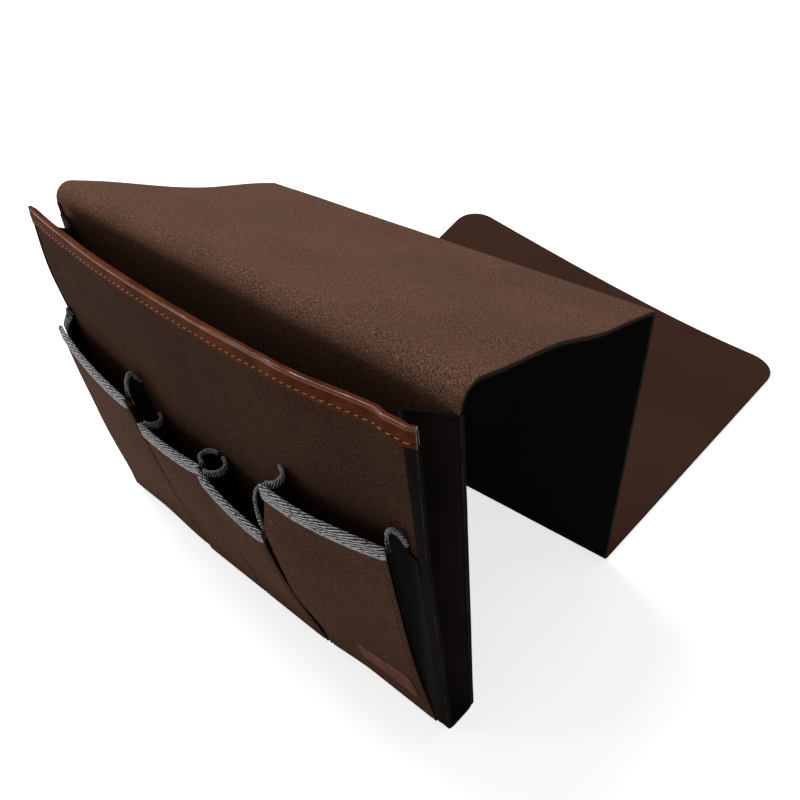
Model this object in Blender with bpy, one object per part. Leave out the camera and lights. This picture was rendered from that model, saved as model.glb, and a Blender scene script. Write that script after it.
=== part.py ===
"""A sofa armrest organizer: a stiffened suede cover that hangs over an armrest.

Its pocket side carries a magazine pocket and four bellows pockets, and its other
end is a flap that tucks under the seat cushion. Metres, +Z up, X across the
armrest, Y along it. The near end is at -Y and the far end at +Y.
"""

import functools
import math

import bmesh
import bpy
import numpy as np
from mathutils import Vector

# Cover: one long stiffened sheet, folded three times over the armrest
cover_length = 0.325
front_corner_height_near = 0.2543
front_corner_height_far = 0.2605
wall_foot_lean_near = 0.0102
wall_foot_lean_far = 0.0068
front_shift_far = 0.0012
top_width_near = 0.1810
top_width_far = 0.1755
rear_height_near = 0.2005
rear_height_far = 0.1955
rear_lean_near = 0.0152
rear_lean_far = 0.0210
flap_reach_near = 0.2955
flap_reach_far = 0.2785
flap_reach_power = 2.6
flap_lift_angle = math.radians(16.5)
flap_lift_power = 1.25
flap_corner_radius = 0.025
front_bend_inner_radius_near = 0.0098
front_bend_inner_radius_far = 0.0068
rear_bend_inner_radius = 0.0018
flap_bend_inner_radius = 0.0018
fold_margin = 0.0040
top_wave_near = 0.0026
top_wave_far = 0.0008
top_crown_near = 0.0006
top_sag_far = 0.0040

# Layers of the cover, from the suede inwards
suede_thickness = 0.0010
board_thickness = 0.0010
lining_thickness = 0.0006
clearance = 0.0003
hinge_gap = 0.0005
board_inset = 0.0030

# Magazine pocket: outer panel, its bottom strip, side gussets and leather trim
foot_height = 0.0045
panel_height_near = 0.2465
panel_height_far = 0.2500
panel_foot_out_near = 0.0098
panel_foot_out_far = 0.0062
mouth_out_near = 0.0272
mouth_out_far = 0.0190
mouth_swell = 0.0142
mouth_swell_power = 1.6
mouth_rise_share = 0.25
mouth_fall_share = 0.50
mouth_fall_power = 2.5
base_thickness = 0.0016
base_flat_share = 0.5
base_curl_power = 2
trim_thickness = 0.0010
trim_drop = 0.0090
trim_crown_segments = 6
gusset_thickness = 0.0008
main_gusset_drop = 0.0110
main_gusset_rise = 0.0080
main_gusset_fold = 0.0220
main_gusset_foot_share = 0.35
main_gusset_edge = 0.0012
main_gusset_fold_power = 1.5

# Bellows pockets, from the far end to the near end
pocket_fabric = 0.0014
pocket_foot_height = 0.0020
pocket_foot_depth = 0.0026
pocket_split_1 = 0.0620
pocket_split_2 = -0.0010
pocket_split_3 = -0.0640
pocket_near_end = -0.1450
pocket_far_inset = 0.0010
pocket_side_gap = 0.0014
pocket_spread = 0.0040
pocket_1_height_far = 0.1650
pocket_1_height_near = 0.1570
pocket_2_height = 0.1400
pocket_3_height_far = 0.1385
pocket_3_height_near = 0.1330
pocket_4_height = 0.1680
pocket_1_depth_far = 0.0095
pocket_1_depth_near = 0.0165
pocket_2_depth_far = 0.0165
pocket_2_depth_near = 0.0155
pocket_3_depth_far = 0.0180
pocket_3_depth_near = 0.0230
pocket_4_depth_far = 0.0145
pocket_4_depth_near = 0.0110
pocket_belly = 0.0015
pocket_fullness_tight = 1.2
pocket_fullness_plain = 1.8
pocket_fullness_round = 4.0
tape_thickness = 0.0007
tape_drop = 0.0085
gusset_tape_drop = 0.0060
gusset_fold_share = 0.62
gusset_inset = 0.0018

# Leather patch near the bottom of pocket 4
patch_thickness = 0.0010
patch_low = 0.0160
patch_height = 0.0200
patch_near_inset = 0.0060
patch_length = 0.0480

# Steps of the sweeps, as counts
along_steps = 8
panel_along_steps = 14
pocket_across_steps = 6
pocket_up_steps = 6
gusset_steps = 6
tape_crown_segments = 4
foot_crowding = 1.5
fold_arc_steps = 5
wall_steps = 3
top_steps = 8
rear_steps = 3
flap_steps = 5
flap_corner_steps = 4
panel_up_steps = 6
base_across_steps = 8
main_gusset_up_steps = 5
patch_up_steps = 3
patch_along_steps = 4

# Stretches of the cover along the sheet, as numbered by Section
flap_stretch = 6

cover_thickness = suede_thickness + board_thickness + lining_thickness + 2 * clearance
suede_layer = (0.0, suede_thickness)
board_layer = (suede_thickness + clearance, suede_thickness + clearance + board_thickness)
lining_layer = (cover_thickness - lining_thickness, cover_thickness)
half_length = cover_length / 2
derivative_step_share = 0.001
sharp_edge_angle = math.radians(40)

# Colours, as linear values, with roughness
suede_brown = (0.070, 0.034, 0.022, 1.0)
flap_brown = (0.040, 0.020, 0.013, 1.0)
pocket_brown = (0.050, 0.027, 0.018, 1.0)
leather_cognac = (0.150, 0.045, 0.016, 1.0)
patch_brown = (0.085, 0.032, 0.023, 1.0)
tape_grey = (0.160, 0.155, 0.160, 1.0)
lining_black = (0.010, 0.009, 0.008, 1.0)
board_grey = (0.120, 0.110, 0.100, 1.0)


def clear_scene():
    for obj in list(bpy.data.objects):
        bpy.data.objects.remove(obj, do_unlink=True)


def make_material(name, color, roughness):
    material = bpy.data.materials.new(name)
    material.use_nodes = True
    shader = material.node_tree.nodes["Principled BSDF"]
    shader.inputs["Base Color"].default_value = color
    shader.inputs["Roughness"].default_value = roughness
    shader.inputs["Metallic"].default_value = 0.0
    return material


def mix(near, far, share):
    return near + (far - near) * share


def ease(share):
    share = min(max(share, 0.0), 1.0)
    return share * share * (3 - 2 * share)


def steps(start, end, count):
    return [mix(start, end, i / count) for i in range(count + 1)]


def moved_towards(point, other, distance):
    return point + unit(other - point) * distance


def pulled_in(grid, inset):
    """The same grid with its rim moved in along its own edges, so that a layer
    kept inside its neighbours stays parallel to them."""
    for row in grid:
        row[0] = moved_towards(row[0], row[1], inset)
        row[-1] = moved_towards(row[-1], row[-2], inset)
    for j in range(len(grid[0])):
        grid[0][j] = moved_towards(grid[0][j], grid[1][j], inset)
        grid[-1][j] = moved_towards(grid[-1][j], grid[-2][j], inset)
    return grid


def unit(vector):
    return vector / np.linalg.norm(vector)


def turned_left(direction):
    return np.array([-direction[1], direction[0]])


class Section:
    """The cover's suede face in the X-Z plane at one place along the armrest.

    The stretches are numbered along the sheet: 0 pocket wall, 1 front bend,
    2 top, 3 rear bend, 4 rear wall, 5 flap bend, 6 flap.
    """

    def __init__(self, share):
        front_height = mix(front_corner_height_near, front_corner_height_far, share)
        front_x = mix(0.0, -front_shift_far, share)
        foot_x = mix(wall_foot_lean_near, wall_foot_lean_far, share)
        rear_x = mix(top_width_near, top_width_far, share)
        rear_height = mix(rear_height_near, rear_height_far, share)
        flap_x = rear_x - mix(rear_lean_near, rear_lean_far, share)
        reach = mix(flap_reach_far, flap_reach_near, (1 - share) ** flap_reach_power)
        lift = flap_lift_angle * share**flap_lift_power
        flap_corner = np.array([flap_x, cover_thickness])
        self.corners = [
            np.array([foot_x, foot_height]),
            np.array([front_x, front_height]),
            np.array([rear_x, rear_height]),
            flap_corner,
            flap_corner + reach * np.array([math.cos(lift), math.sin(lift)]),
        ]
        front_inner = mix(front_bend_inner_radius_near, front_bend_inner_radius_far, share)
        self.radii = [
            front_inner + cover_thickness,
            rear_bend_inner_radius + cover_thickness,
            flap_bend_inner_radius,
        ]
        self.wave = mix(top_wave_near, top_wave_far, share)
        self.crown = mix(top_crown_near, -top_sag_far, share)
        self.directions = [
            unit(b - a) for a, b in zip(self.corners[:-1], self.corners[1:])
        ]
        self.bends = [self.bend(i) for i in range(len(self.radii))]

    def bend(self, index):
        """Centre, start angle, turn and radius of the arc at one fold."""
        before, after = self.directions[index], self.directions[index + 1]
        cross = before[0] * after[1] - before[1] * after[0]
        turn = math.atan2(cross, float(before @ after))
        radius = self.radii[index]
        tangent = radius * math.tan(abs(turn) / 2)
        start = self.corners[index + 1] - before * tangent
        side = turned_left(before) * math.copysign(1, turn)
        return {
            "centre": start + side * radius,
            "spoke": -side * radius,
            "turn": turn,
            "start": start,
            "end": self.corners[index + 1] + after * tangent,
        }

    def straight(self, index):
        """Ends of one straight stretch, from 0 for the wall to 3 for the flap."""
        start = self.corners[0] if index == 0 else self.bends[index - 1]["end"]
        last = len(self.bends)
        end = self.corners[-1] if index == last else self.bends[index]["start"]
        return start, end

    def length(self, index):
        start, end = self.straight(index)
        return float(np.linalg.norm(end - start))

    def point(self, station):
        stretch = min(int(station), 2 * len(self.bends))
        share = station - stretch
        if stretch % 2:
            bend = self.bends[stretch // 2]
            angle = bend["turn"] * share
            turn = np.array(
                [[math.cos(angle), -math.sin(angle)], [math.sin(angle), math.cos(angle)]]
            )
            return bend["centre"] + turn @ bend["spoke"]
        start, end = self.straight(stretch // 2)
        place = start + (end - start) * share
        if stretch // 2 == 1:
            hump = math.sin(math.pi * share) ** 2
            rise = hump * (self.crown + self.wave * math.sin(2 * math.pi * share))
            place = place + turned_left(unit(end - start)) * rise
        return place


@functools.lru_cache(maxsize=None)
def section_at(share):
    return Section(min(max(share, 0.0), 1.0))


def y_of(share):
    return mix(-half_length, half_length, share)


def share_of(y):
    return (y + half_length) / cover_length


def cover_point(station, share):
    x, z = section_at(share).point(station)
    return np.array([x, y_of(share), z])


def wall_x(share, z):
    """The pocket wall's suede face, at one height below the front bend."""
    foot, top = section_at(share).straight(0)
    return mix(foot[0], top[0], (z - foot[1]) / (top[1] - foot[1]))


def margin_share(stretch, distance):
    """A distance along a straight stretch, as a share of its mean length."""
    return distance / section_at(0.5).length(stretch)


def panel_height(share):
    return mix(panel_height_near, panel_height_far, share)


def mouth_swelling(share):
    rise = ease(share / mouth_rise_share)
    past = max((share - mouth_fall_share) / (1 - mouth_fall_share), 0.0)
    return mouth_swell * rise * (1 - min(past, 1.0) ** mouth_fall_power)


def panel_x(share, z):
    """The outer panel's suede face, at one height."""
    height = (z - foot_height) / (panel_height(share) - foot_height)
    foot = mix(panel_foot_out_near, panel_foot_out_far, share)
    mouth = mix(mouth_out_near, mouth_out_far, share)
    bulge = mouth_swelling(share) * max(height, 0.0) ** mouth_swell_power
    return -(mix(foot, mouth, height) + bulge)


def panel_point(height_share, share):
    z = mix(foot_height, panel_height(share), height_share)
    return np.array([panel_x(share, z), y_of(share), z])


def surface_normal(point, a, b):
    """Unit normal of a surface of two parameters, from small steps to each side."""
    step = derivative_step_share
    da = point(a + step, b) - point(a - step, b)
    db = point(a, b + step) - point(a, b - step)
    return unit(np.cross(da, db))


def mesh_object(name, vertices, faces, material):
    mesh = bpy.data.meshes.new(name)
    mesh.from_pydata([tuple(map(float, v)) for v in vertices], [], faces)
    cleaner = bmesh.new()
    cleaner.from_mesh(mesh)
    bmesh.ops.recalc_face_normals(cleaner, faces=cleaner.faces)
    cleaner.to_mesh(mesh)
    cleaner.free()
    mesh.materials.append(material)
    mesh.shade_smooth()
    mesh.set_sharp_from_angle(angle=sharp_edge_angle)
    obj = bpy.data.objects.new(name, mesh)
    bpy.context.scene.collection.objects.link(obj)
    return obj


def grid_solid(name, first, second, material):
    """Closes two matching grids of points, a layer's outer and inner face."""
    rows, columns = len(first), len(first[0])
    vertices = [p for row in first for p in row] + [p for row in second for p in row]
    offset = rows * columns
    faces = []
    for i in range(rows - 1):
        for j in range(columns - 1):
            a, b = i * columns + j, (i + 1) * columns + j
            faces.append((a, b, b + 1, a + 1))
            faces.append((offset + a, offset + a + 1, offset + b + 1, offset + b))
    rim = [i * columns for i in range(rows)]
    rim += [(rows - 1) * columns + j for j in range(1, columns)]
    rim += [i * columns + columns - 1 for i in range(rows - 2, -1, -1)]
    rim += list(range(columns - 2, 0, -1))
    for a, b in zip(rim, rim[1:] + rim[:1]):
        faces.append((a, b, offset + b, offset + a))
    return mesh_object(name, vertices, faces, material)


def layer_solid(name, point, facing, a_values, b_values, layer, material, inset=0.0):
    """One layer of a sheet, between two depths behind the sheet's face.

    facing is 1 where the surface's normal points out of that face, and -1 where
    it points in. b_values is a list, or a function that gives the list for one a.
    """
    grids = ([], [])
    for a in a_values:
        row = b_values(a) if callable(b_values) else b_values
        for grid, depth in zip(grids, layer):
            grid.append(
                [point(a, b) - facing * surface_normal(point, a, b) * depth for b in row]
            )
    if inset:
        grids = [pulled_in(grid, inset) for grid in grids]
    return grid_solid(name, grids[0], grids[1], material)


def swept_solid(name, sections, material):
    """Joins matching closed outlines end to end and caps the two ends."""
    count = len(sections[0])
    vertices = [p for section in sections for p in section]
    faces = []
    for i in range(len(sections) - 1):
        for j in range(count):
            k = (j + 1) % count
            a, b = i * count, (i + 1) * count
            faces.append((a + j, a + k, b + k, b + j))
    obj = mesh_object(name, vertices, faces, material)
    cleaner = bmesh.new()
    cleaner.from_mesh(obj.data)
    bmesh.ops.holes_fill(cleaner, edges=[e for e in cleaner.edges if e.is_boundary])
    bmesh.ops.triangulate(cleaner, faces=[f for f in cleaner.faces if len(f.verts) > 4])
    bmesh.ops.recalc_face_normals(cleaner, faces=cleaner.faces)
    cleaner.to_mesh(obj.data)
    cleaner.free()
    return obj


def binding_outline(core, wall, drop, crown_steps):
    """A folded strip in section: (across, down) points round a slot for its core.

    The slot is as wide as the core with a clearance on each side, and the strip
    comes down by drop on both sides from the core's edge.
    """
    inner = core / 2 + clearance
    outer = inner + wall
    points = [(-outer, drop), (-inner, drop), (-inner, -clearance)]
    points += [(inner, -clearance), (inner, drop), (outer, drop)]
    for i in range(crown_steps + 1):
        angle = math.pi * i / crown_steps
        points.append((outer * math.cos(angle), -clearance - wall * math.sin(angle)))
    return points


def binding_solid(name, edge_points, across, down, outline, material):
    """Folds a strip over an edge; each edge point is the middle of the core's edge."""
    sections = [
        [p + n * x + d * z for x, z in outline]
        for p, n, d in zip(edge_points, across, down)
    ]
    return swept_solid(name, sections, material)


def stations(first, last, gap_before, gap_after, count):
    """Stations on one straight stretch, clear of the strips at its two ends."""
    stretch = int(first)
    start = first + margin_share(stretch // 2, gap_before)
    end = last - margin_share(stretch // 2, gap_after)
    return steps(start, end, count)


def fold_stations(bend_stretch):
    """Stations over a bend and the margins where it is sewn to its neighbours."""
    before, after = bend_stretch // 2, bend_stretch // 2 + 1
    start = bend_stretch - margin_share(before, fold_margin)
    end = bend_stretch + 1 + margin_share(after, fold_margin)
    return [start, *steps(bend_stretch, bend_stretch + 1, fold_arc_steps), end]


def flap_length():
    return section_at(0.5).length(flap_stretch // 2)


def flap_row(inset):
    """Shares along the flap at one distance out, drawn in at its round corners."""

    def row(station):
        radius = flap_corner_radius - inset
        left = (flap_stretch + 1 - station) * flap_length() - inset
        past = min(max(radius - left, 0.0), radius)
        cut = radius - math.sqrt(radius**2 - past**2)
        side = (inset + cut) / cover_length
        return steps(side, 1 - side, along_steps)

    return row


def flap_stations(inset):
    """Stations along the flap, closer together where its corners turn."""
    start = flap_stretch + (fold_margin + clearance + inset) / flap_length()
    round_start = flap_stretch + 1 - flap_corner_radius / flap_length()
    end = flap_stretch + 1 - inset / flap_length()
    quarter = steps(0.0, math.pi / 2, flap_corner_steps)
    turns = [mix(round_start, end, math.sin(angle)) for angle in quarter[1:]]
    return [*steps(start, round_start, flap_steps), *turns]


def build_stretch(name, stretch, count, gap_before, materials):
    """One stiffened stretch of the cover: suede, board and lining."""
    full = steps(0.0, 1.0, along_steps)
    gap_after = fold_margin + clearance
    sheet = stations(stretch, stretch + 1, gap_before, gap_after, count)
    return [
        layer_solid(f"{name}_{layer}", cover_point, 1, sheet, full, depths, material, inset)
        for layer, depths, material, inset in (
            ("suede", suede_layer, materials["suede"], 0.0),
            ("board", board_layer, materials["board"], board_inset),
            ("lining", lining_layer, materials["lining"], 0.0),
        )
    ]


def build_fold(name, stretch, face, materials):
    """The strips without board that join two stretches, one in each face."""
    full = steps(0.0, 1.0, along_steps)
    values = fold_stations(stretch)
    lining = materials["lining"]
    return [
        layer_solid(f"{name}_suede", cover_point, 1, values, full, suede_layer, face),
        layer_solid(f"{name}_lining", cover_point, 1, values, full, lining_layer, lining),
    ]


def build_flap(materials):
    return [
        layer_solid(
            f"flap_{layer}",
            cover_point,
            1,
            flap_stations(inset),
            flap_row(inset),
            depths,
            material,
        )
        for layer, depths, material, inset in (
            ("suede", suede_layer, materials["flap"], 0.0),
            ("board", board_layer, materials["board"], board_inset),
            ("lining", lining_layer, materials["lining"], 0.0),
        )
    ]


def build_panel(materials):
    """The magazine pocket's outer panel, with its trim."""
    full = steps(0.0, 1.0, panel_along_steps)
    mean_height = (panel_height_near + panel_height_far) / 2 - foot_height
    up = steps(hinge_gap / mean_height, 1.0, panel_up_steps)
    layers = [
        layer_solid(f"panel_{layer}", panel_point, 1, up, full, depths, material, inset)
        for layer, depths, material, inset in (
            ("suede", suede_layer, materials["pocket"], 0.0),
            ("board", board_layer, materials["board"], board_inset),
            ("lining", lining_layer, materials["lining"], 0.0),
        )
    ]
    return [*layers, build_trim(up[-2], materials)]


def build_base(materials):
    """The strip under the magazine pocket, flat on the floor in its middle."""
    upper, lower = [], []
    rise = foot_height - clearance - base_thickness
    for share in steps(0.0, 1.0, along_steps):
        wall_side = section_at(share).corners[0][0] + cover_thickness
        panel_side = panel_x(share, foot_height) + hinge_gap
        row_up, row_low = [], []
        for across in steps(-1.0, 1.0, base_across_steps):
            x = mix(wall_side, panel_side, (across + 1) / 2)
            curled = max(abs(across) - base_flat_share, 0.0) / (1 - base_flat_share)
            lift = rise * curled**base_curl_power
            row_up.append(np.array([x, y_of(share), lift + base_thickness]))
            row_low.append(np.array([x, y_of(share), lift]))
        upper.append(row_up)
        lower.append(row_low)
    return grid_solid("pocket_base", upper, lower, materials["pocket"])


def build_trim(row_below, materials):
    """Leather strip folded over the outer panel's top edge."""
    outline = binding_outline(
        cover_thickness, trim_thickness, trim_drop, trim_crown_segments
    )
    points, across, down = [], [], []
    for share in steps(0.0, 1.0, panel_along_steps):
        top = panel_point(1.0, share)
        normal = surface_normal(panel_point, 1.0, share)
        points.append(top - normal * cover_thickness / 2)
        across.append(normal)
        down.append(unit(panel_point(row_below, share) - top))
    return binding_solid("trim", points, across, down, outline, materials["trim"])


def build_main_gusset(name, end_share, inward, materials):
    """A side of the magazine pocket, folded inward along its middle."""
    end_y = y_of(end_share) + inward * main_gusset_edge
    top = panel_height(end_share) - main_gusset_drop
    margin = clearance + gusset_thickness / 2

    def point(up, across):
        z = mix(main_gusset_rise, top, up)
        fold = main_gusset_fold * mix(main_gusset_foot_share, 1.0, up)
        depth = fold * (1 - abs(2 * across - 1) ** main_gusset_fold_power)
        y = end_y + inward * depth
        panel_side = panel_x(share_of(y), z) + cover_thickness + margin
        wall_side = wall_x(share_of(y), z) - margin
        return np.array([mix(panel_side, wall_side, across), y, z])

    return layer_solid(
        name,
        point,
        inward,
        steps(0.0, 1.0, main_gusset_up_steps),
        steps(0.0, 1.0, gusset_steps),
        (-gusset_thickness / 2, gusset_thickness / 2),
        materials["gusset"],
    )


def pocket_specs():
    """Sizes of the four bellows pockets, far end first.

    Each has its far and near edge, its height and depth at both, and how full
    each side is: the higher the power, the rounder the pocket's bottom corner.
    """
    half_gap = pocket_side_gap / 2
    far_edge = half_length - pocket_far_inset
    return [
        {
            "edges": (far_edge, pocket_split_1 + half_gap),
            "spread": (0.0, pocket_spread),
            "heights": (pocket_1_height_far, pocket_1_height_near),
            "depths": (pocket_1_depth_far, pocket_1_depth_near),
            "fullness": (pocket_fullness_round, pocket_fullness_plain),
        },
        {
            "edges": (pocket_split_1 - half_gap, pocket_split_2 + half_gap),
            "spread": (0.0, 0.0),
            "heights": (pocket_2_height, pocket_2_height),
            "depths": (pocket_2_depth_far, pocket_2_depth_near),
            "fullness": (pocket_fullness_plain, pocket_fullness_plain),
        },
        {
            "edges": (pocket_split_2 - half_gap, pocket_split_3 + half_gap),
            "spread": (0.0, 0.0),
            "heights": (pocket_3_height_far, pocket_3_height_near),
            "depths": (pocket_3_depth_far, pocket_3_depth_near),
            "fullness": (pocket_fullness_plain, pocket_fullness_plain),
        },
        {
            "edges": (pocket_split_3 - half_gap, pocket_near_end),
            "spread": (0.0, 0.0),
            "heights": (pocket_4_height, pocket_4_height),
            "depths": (pocket_4_depth_far, pocket_4_depth_near),
            "fullness": (pocket_fullness_plain, pocket_fullness_tight),
        },
    ]


class BellowsPocket:
    """One small pocket: where its front and gussets run."""

    def __init__(self, number, spec):
        self.name = f"pocket_{number}"
        self.spec = spec

    def edge_y(self, up, across):
        far, near = self.spec["edges"]
        spread_far, spread_near = self.spec["spread"]
        far += spread_far * up
        near += spread_near * up
        return mix(far, near, across)

    def depth(self, up, across):
        """Clear space between the outer panel and the front's inner face."""
        up = min(max(up, 0.0), 1.0)
        sides = [
            pocket_foot_depth + (depth - pocket_foot_depth) * (1 - (1 - up) ** power)
            for depth, power in zip(self.spec["depths"], self.spec["fullness"])
        ]
        belly = pocket_belly * math.sin(math.pi * min(max(across, 0.0), 1.0)) * up
        return mix(sides[0], sides[1], across) + belly

    def front_height(self, across):
        return mix(self.spec["heights"][0], self.spec["heights"][1], across)

    def inner_point(self, up, across):
        """The front's inner face."""
        y = self.edge_y(up, across)
        z = mix(pocket_foot_height, self.front_height(across), up)
        x = panel_x(share_of(y), z) - self.depth(up, across)
        return np.array([x, y, z])

    def gusset_point(self, side, up, across):
        """A side's cloth, folded inward as a half ellipse in plan.

        across runs from the front to the outer panel. Near the top the cloth
        keeps room for its own tape and for the tape on the front.
        """
        inward = -1 if side == 0 else 1
        front = self.inner_point(up, side)
        opened = self.depth(up, side) - pocket_foot_depth
        opened /= self.depth(1.0, side) - pocket_foot_depth
        plain_margin = clearance + gusset_thickness / 2
        tape_margin = plain_margin + clearance + tape_thickness
        front_tape = 2 * clearance + tape_thickness
        start = front[0] + mix(plain_margin, tape_margin + front_tape, opened)
        y = front[1] + inward * gusset_inset
        end = panel_x(share_of(y), front[2]) - mix(plain_margin, tape_margin, opened)
        x = mix(start, end, (1 - math.cos(math.pi * across)) / 2)
        y += inward * gusset_fold_share * (end - start) * math.sin(math.pi * across)
        return np.array([x, y, front[2]])

    def rows(self):
        """Shares of the height, closer together at the rounded foot."""
        return [share**foot_crowding for share in steps(0.0, 1.0, pocket_up_steps)]

    def hinge_line(self):
        """Near and far end of the fold where the front meets the pocket's foot."""
        half_fabric = np.array([pocket_fabric / 2, 0.0, 0.0])
        return [self.inner_point(0.0, across) - half_fabric for across in (1.0, 0.0)]

    def build_front(self, materials):
        across = steps(0.0, 1.0, pocket_across_steps)
        front = layer_solid(
            f"{self.name}_front",
            self.inner_point,
            -1,
            self.rows(),
            across,
            (-pocket_fabric, 0.0),
            materials["pocket"],
        )
        return [front, self.build_front_tape(self.rows()[-2], materials)]

    def build_sides(self, materials):
        far_side = self.build_gusset(0, "far", self.rows(), materials)
        near_side = self.build_gusset(1, "near", self.rows(), materials)
        return [*far_side, *near_side]

    def build_front_tape(self, row_below, materials):
        outline = binding_outline(
            pocket_fabric, tape_thickness, tape_drop, tape_crown_segments
        )
        points, normals, down = [], [], []
        for across in steps(0.0, 1.0, pocket_across_steps):
            top = self.inner_point(1.0, across)
            normal = -surface_normal(self.inner_point, 1.0, across)
            points.append(top + normal * pocket_fabric / 2)
            normals.append(normal)
            down.append(unit(self.inner_point(row_below, across) - top))
        return binding_solid(
            f"{self.name}_tape", points, normals, down, outline, materials["tape"]
        )

    def build_gusset(self, side, place, up, materials):
        def point(height, across):
            return self.gusset_point(side, height, across)

        inward = 1 if side == 0 else -1
        half = gusset_thickness / 2
        across = steps(0.0, 1.0, gusset_steps)
        cloth = layer_solid(
            f"{self.name}_gusset_{place}",
            point,
            inward,
            up,
            across,
            (-half, half),
            materials["gusset"],
        )
        outline = binding_outline(
            gusset_thickness, tape_thickness, gusset_tape_drop, tape_crown_segments
        )
        points, normals, down = [], [], []
        for share in across:
            top = point(1.0, share)
            points.append(top)
            normals.append(surface_normal(point, 1.0, share))
            down.append(unit(point(up[-2], share) - top))
        tape = binding_solid(
            f"{self.name}_tape_{place}", points, normals, down, outline, materials["tape"]
        )
        return [cloth, tape]


def build_patch(pocket, materials):
    """A bare leather patch sewn to the front of the widest pocket."""
    near = pocket.edge_y(0.0, 1.0) + patch_near_inset
    width = pocket.edge_y(0.0, 0.0) - pocket.edge_y(0.0, 1.0)
    first = 1 - (near + patch_length - pocket.edge_y(0.0, 1.0)) / width
    last = 1 - (near - pocket.edge_y(0.0, 1.0)) / width
    height = pocket.front_height(1.0) - pocket_foot_height
    low = (patch_low - pocket_foot_height) / height
    high = low + patch_height / height
    outer = -(pocket_fabric + clearance)
    return layer_solid(
        "patch",
        pocket.inner_point,
        -1,
        steps(low, high, patch_up_steps),
        steps(first, last, patch_along_steps),
        (outer - patch_thickness, outer),
        materials["patch"],
    )


def build_materials():
    return {
        "suede": make_material("suede", suede_brown, 0.95),
        "flap": make_material("flap_suede", flap_brown, 0.8),
        "pocket": make_material("pocket_suede", pocket_brown, 0.9),
        "trim": make_material("trim_leather", leather_cognac, 0.35),
        "patch": make_material("patch_leather", patch_brown, 0.6),
        "tape": make_material("binding_tape", tape_grey, 0.8),
        "lining": make_material("lining", lining_black, 0.85),
        "gusset": make_material("gusset_cloth", lining_black, 0.9),
        "board": make_material("stiffener", board_grey, 0.9),
    }


def bend_line(index):
    """Near and far end of one fold's axis, the centres of its bend."""
    ends = []
    for share in (0.0, 1.0):
        x, z = section_at(share).bends[index]["centre"]
        ends.append(np.array([x, y_of(share), z]))
    return ends


def mouth_line():
    """Near and far end of the fold between the outer panel and the base strip."""
    half_sheet = np.array([cover_thickness / 2, 0.0, 0.0])
    return [panel_point(0.0, share) + half_sheet for share in (0.0, 1.0)]


def hang(child, parent):
    """Parents a piece or an axis and leaves it where it is."""
    child.parent = parent
    child.matrix_parent_inverse = parent.matrix_basis.inverted()


def add_axis(name, ends, parent, pieces):
    """An empty on a fold's near end, its Y axis along the fold, with its pieces."""
    near, far = (Vector(map(float, end)) for end in ends)
    axis = bpy.data.objects.new(name, None)
    axis.location = near
    axis.rotation_euler = (far - near).to_track_quat("Y", "Z").to_euler()
    bpy.context.scene.collection.objects.link(axis)
    hang(axis, parent)
    for piece in pieces:
        hang(piece, axis)
    return axis


def footprint_centre():
    pieces = [o for o in bpy.data.objects if o.type == "MESH"]
    x = [vertex.co.x for piece in pieces for vertex in piece.data.vertices]
    return (min(x) + max(x)) / 2


def main():
    clear_scene()
    materials = build_materials()
    margin = fold_margin + clearance
    suede, flap_face = materials["suede"], materials["flap"]

    origin = bpy.data.objects.new("organizer", None)
    bpy.context.scene.collection.objects.link(origin)
    top = build_stretch("top", 2, top_steps, margin, materials)
    top += build_fold("front_fold", 1, suede, materials)
    top += build_fold("rear_fold", 3, suede, materials)
    for piece in top:
        hang(piece, origin)

    rear = build_stretch("rear", 4, rear_steps, margin, materials)
    rear += build_fold("flap_fold", 5, flap_face, materials)
    rear_axis = add_axis("rear_fold_axis", bend_line(1), origin, rear)
    add_axis("flap_fold_axis", bend_line(2), rear_axis, build_flap(materials))

    wall = build_stretch("wall", 0, wall_steps, 0.0, materials)
    wall.append(build_base(materials))
    wall.append(build_main_gusset("main_gusset_near", 0.0, 1, materials))
    wall.append(build_main_gusset("main_gusset_far", 1.0, -1, materials))
    wall_axis = add_axis("front_fold_axis", bend_line(0), origin, wall)

    pockets = [BellowsPocket(i + 1, spec) for i, spec in enumerate(pocket_specs())]
    panel = build_panel(materials)
    for pocket in pockets:
        panel += pocket.build_sides(materials)
    panel_axis = add_axis("pocket_mouth_axis", mouth_line(), wall_axis, panel)
    for pocket in pockets:
        front = pocket.build_front(materials)
        if pocket is pockets[-1]:
            front.append(build_patch(pocket, materials))
        add_axis(f"{pocket.name}_axis", pocket.hinge_line(), panel_axis, front)
    origin.location.x = -footprint_centre()


main()
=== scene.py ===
"""Looks of a sofa armrest organizer: a folded suede cover with a magazine pocket,
four bellows pockets with bound edges, and a flap that goes under a seat cushion.

Metres, +Z up, X across the armrest, Y along it, the near end at -Y. Surfaces follow
the same folds as the frame's solids, and every texture runs on lengths of cloth,
so it stays on the cloth when a fold moves.
"""

import contextlib
import functools
import math
from collections import namedtuple

import bmesh
import bpy
import numpy as np
from bpy.props import FloatProperty, FloatVectorProperty, PointerProperty
from mathutils import Matrix, Vector, noise


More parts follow.
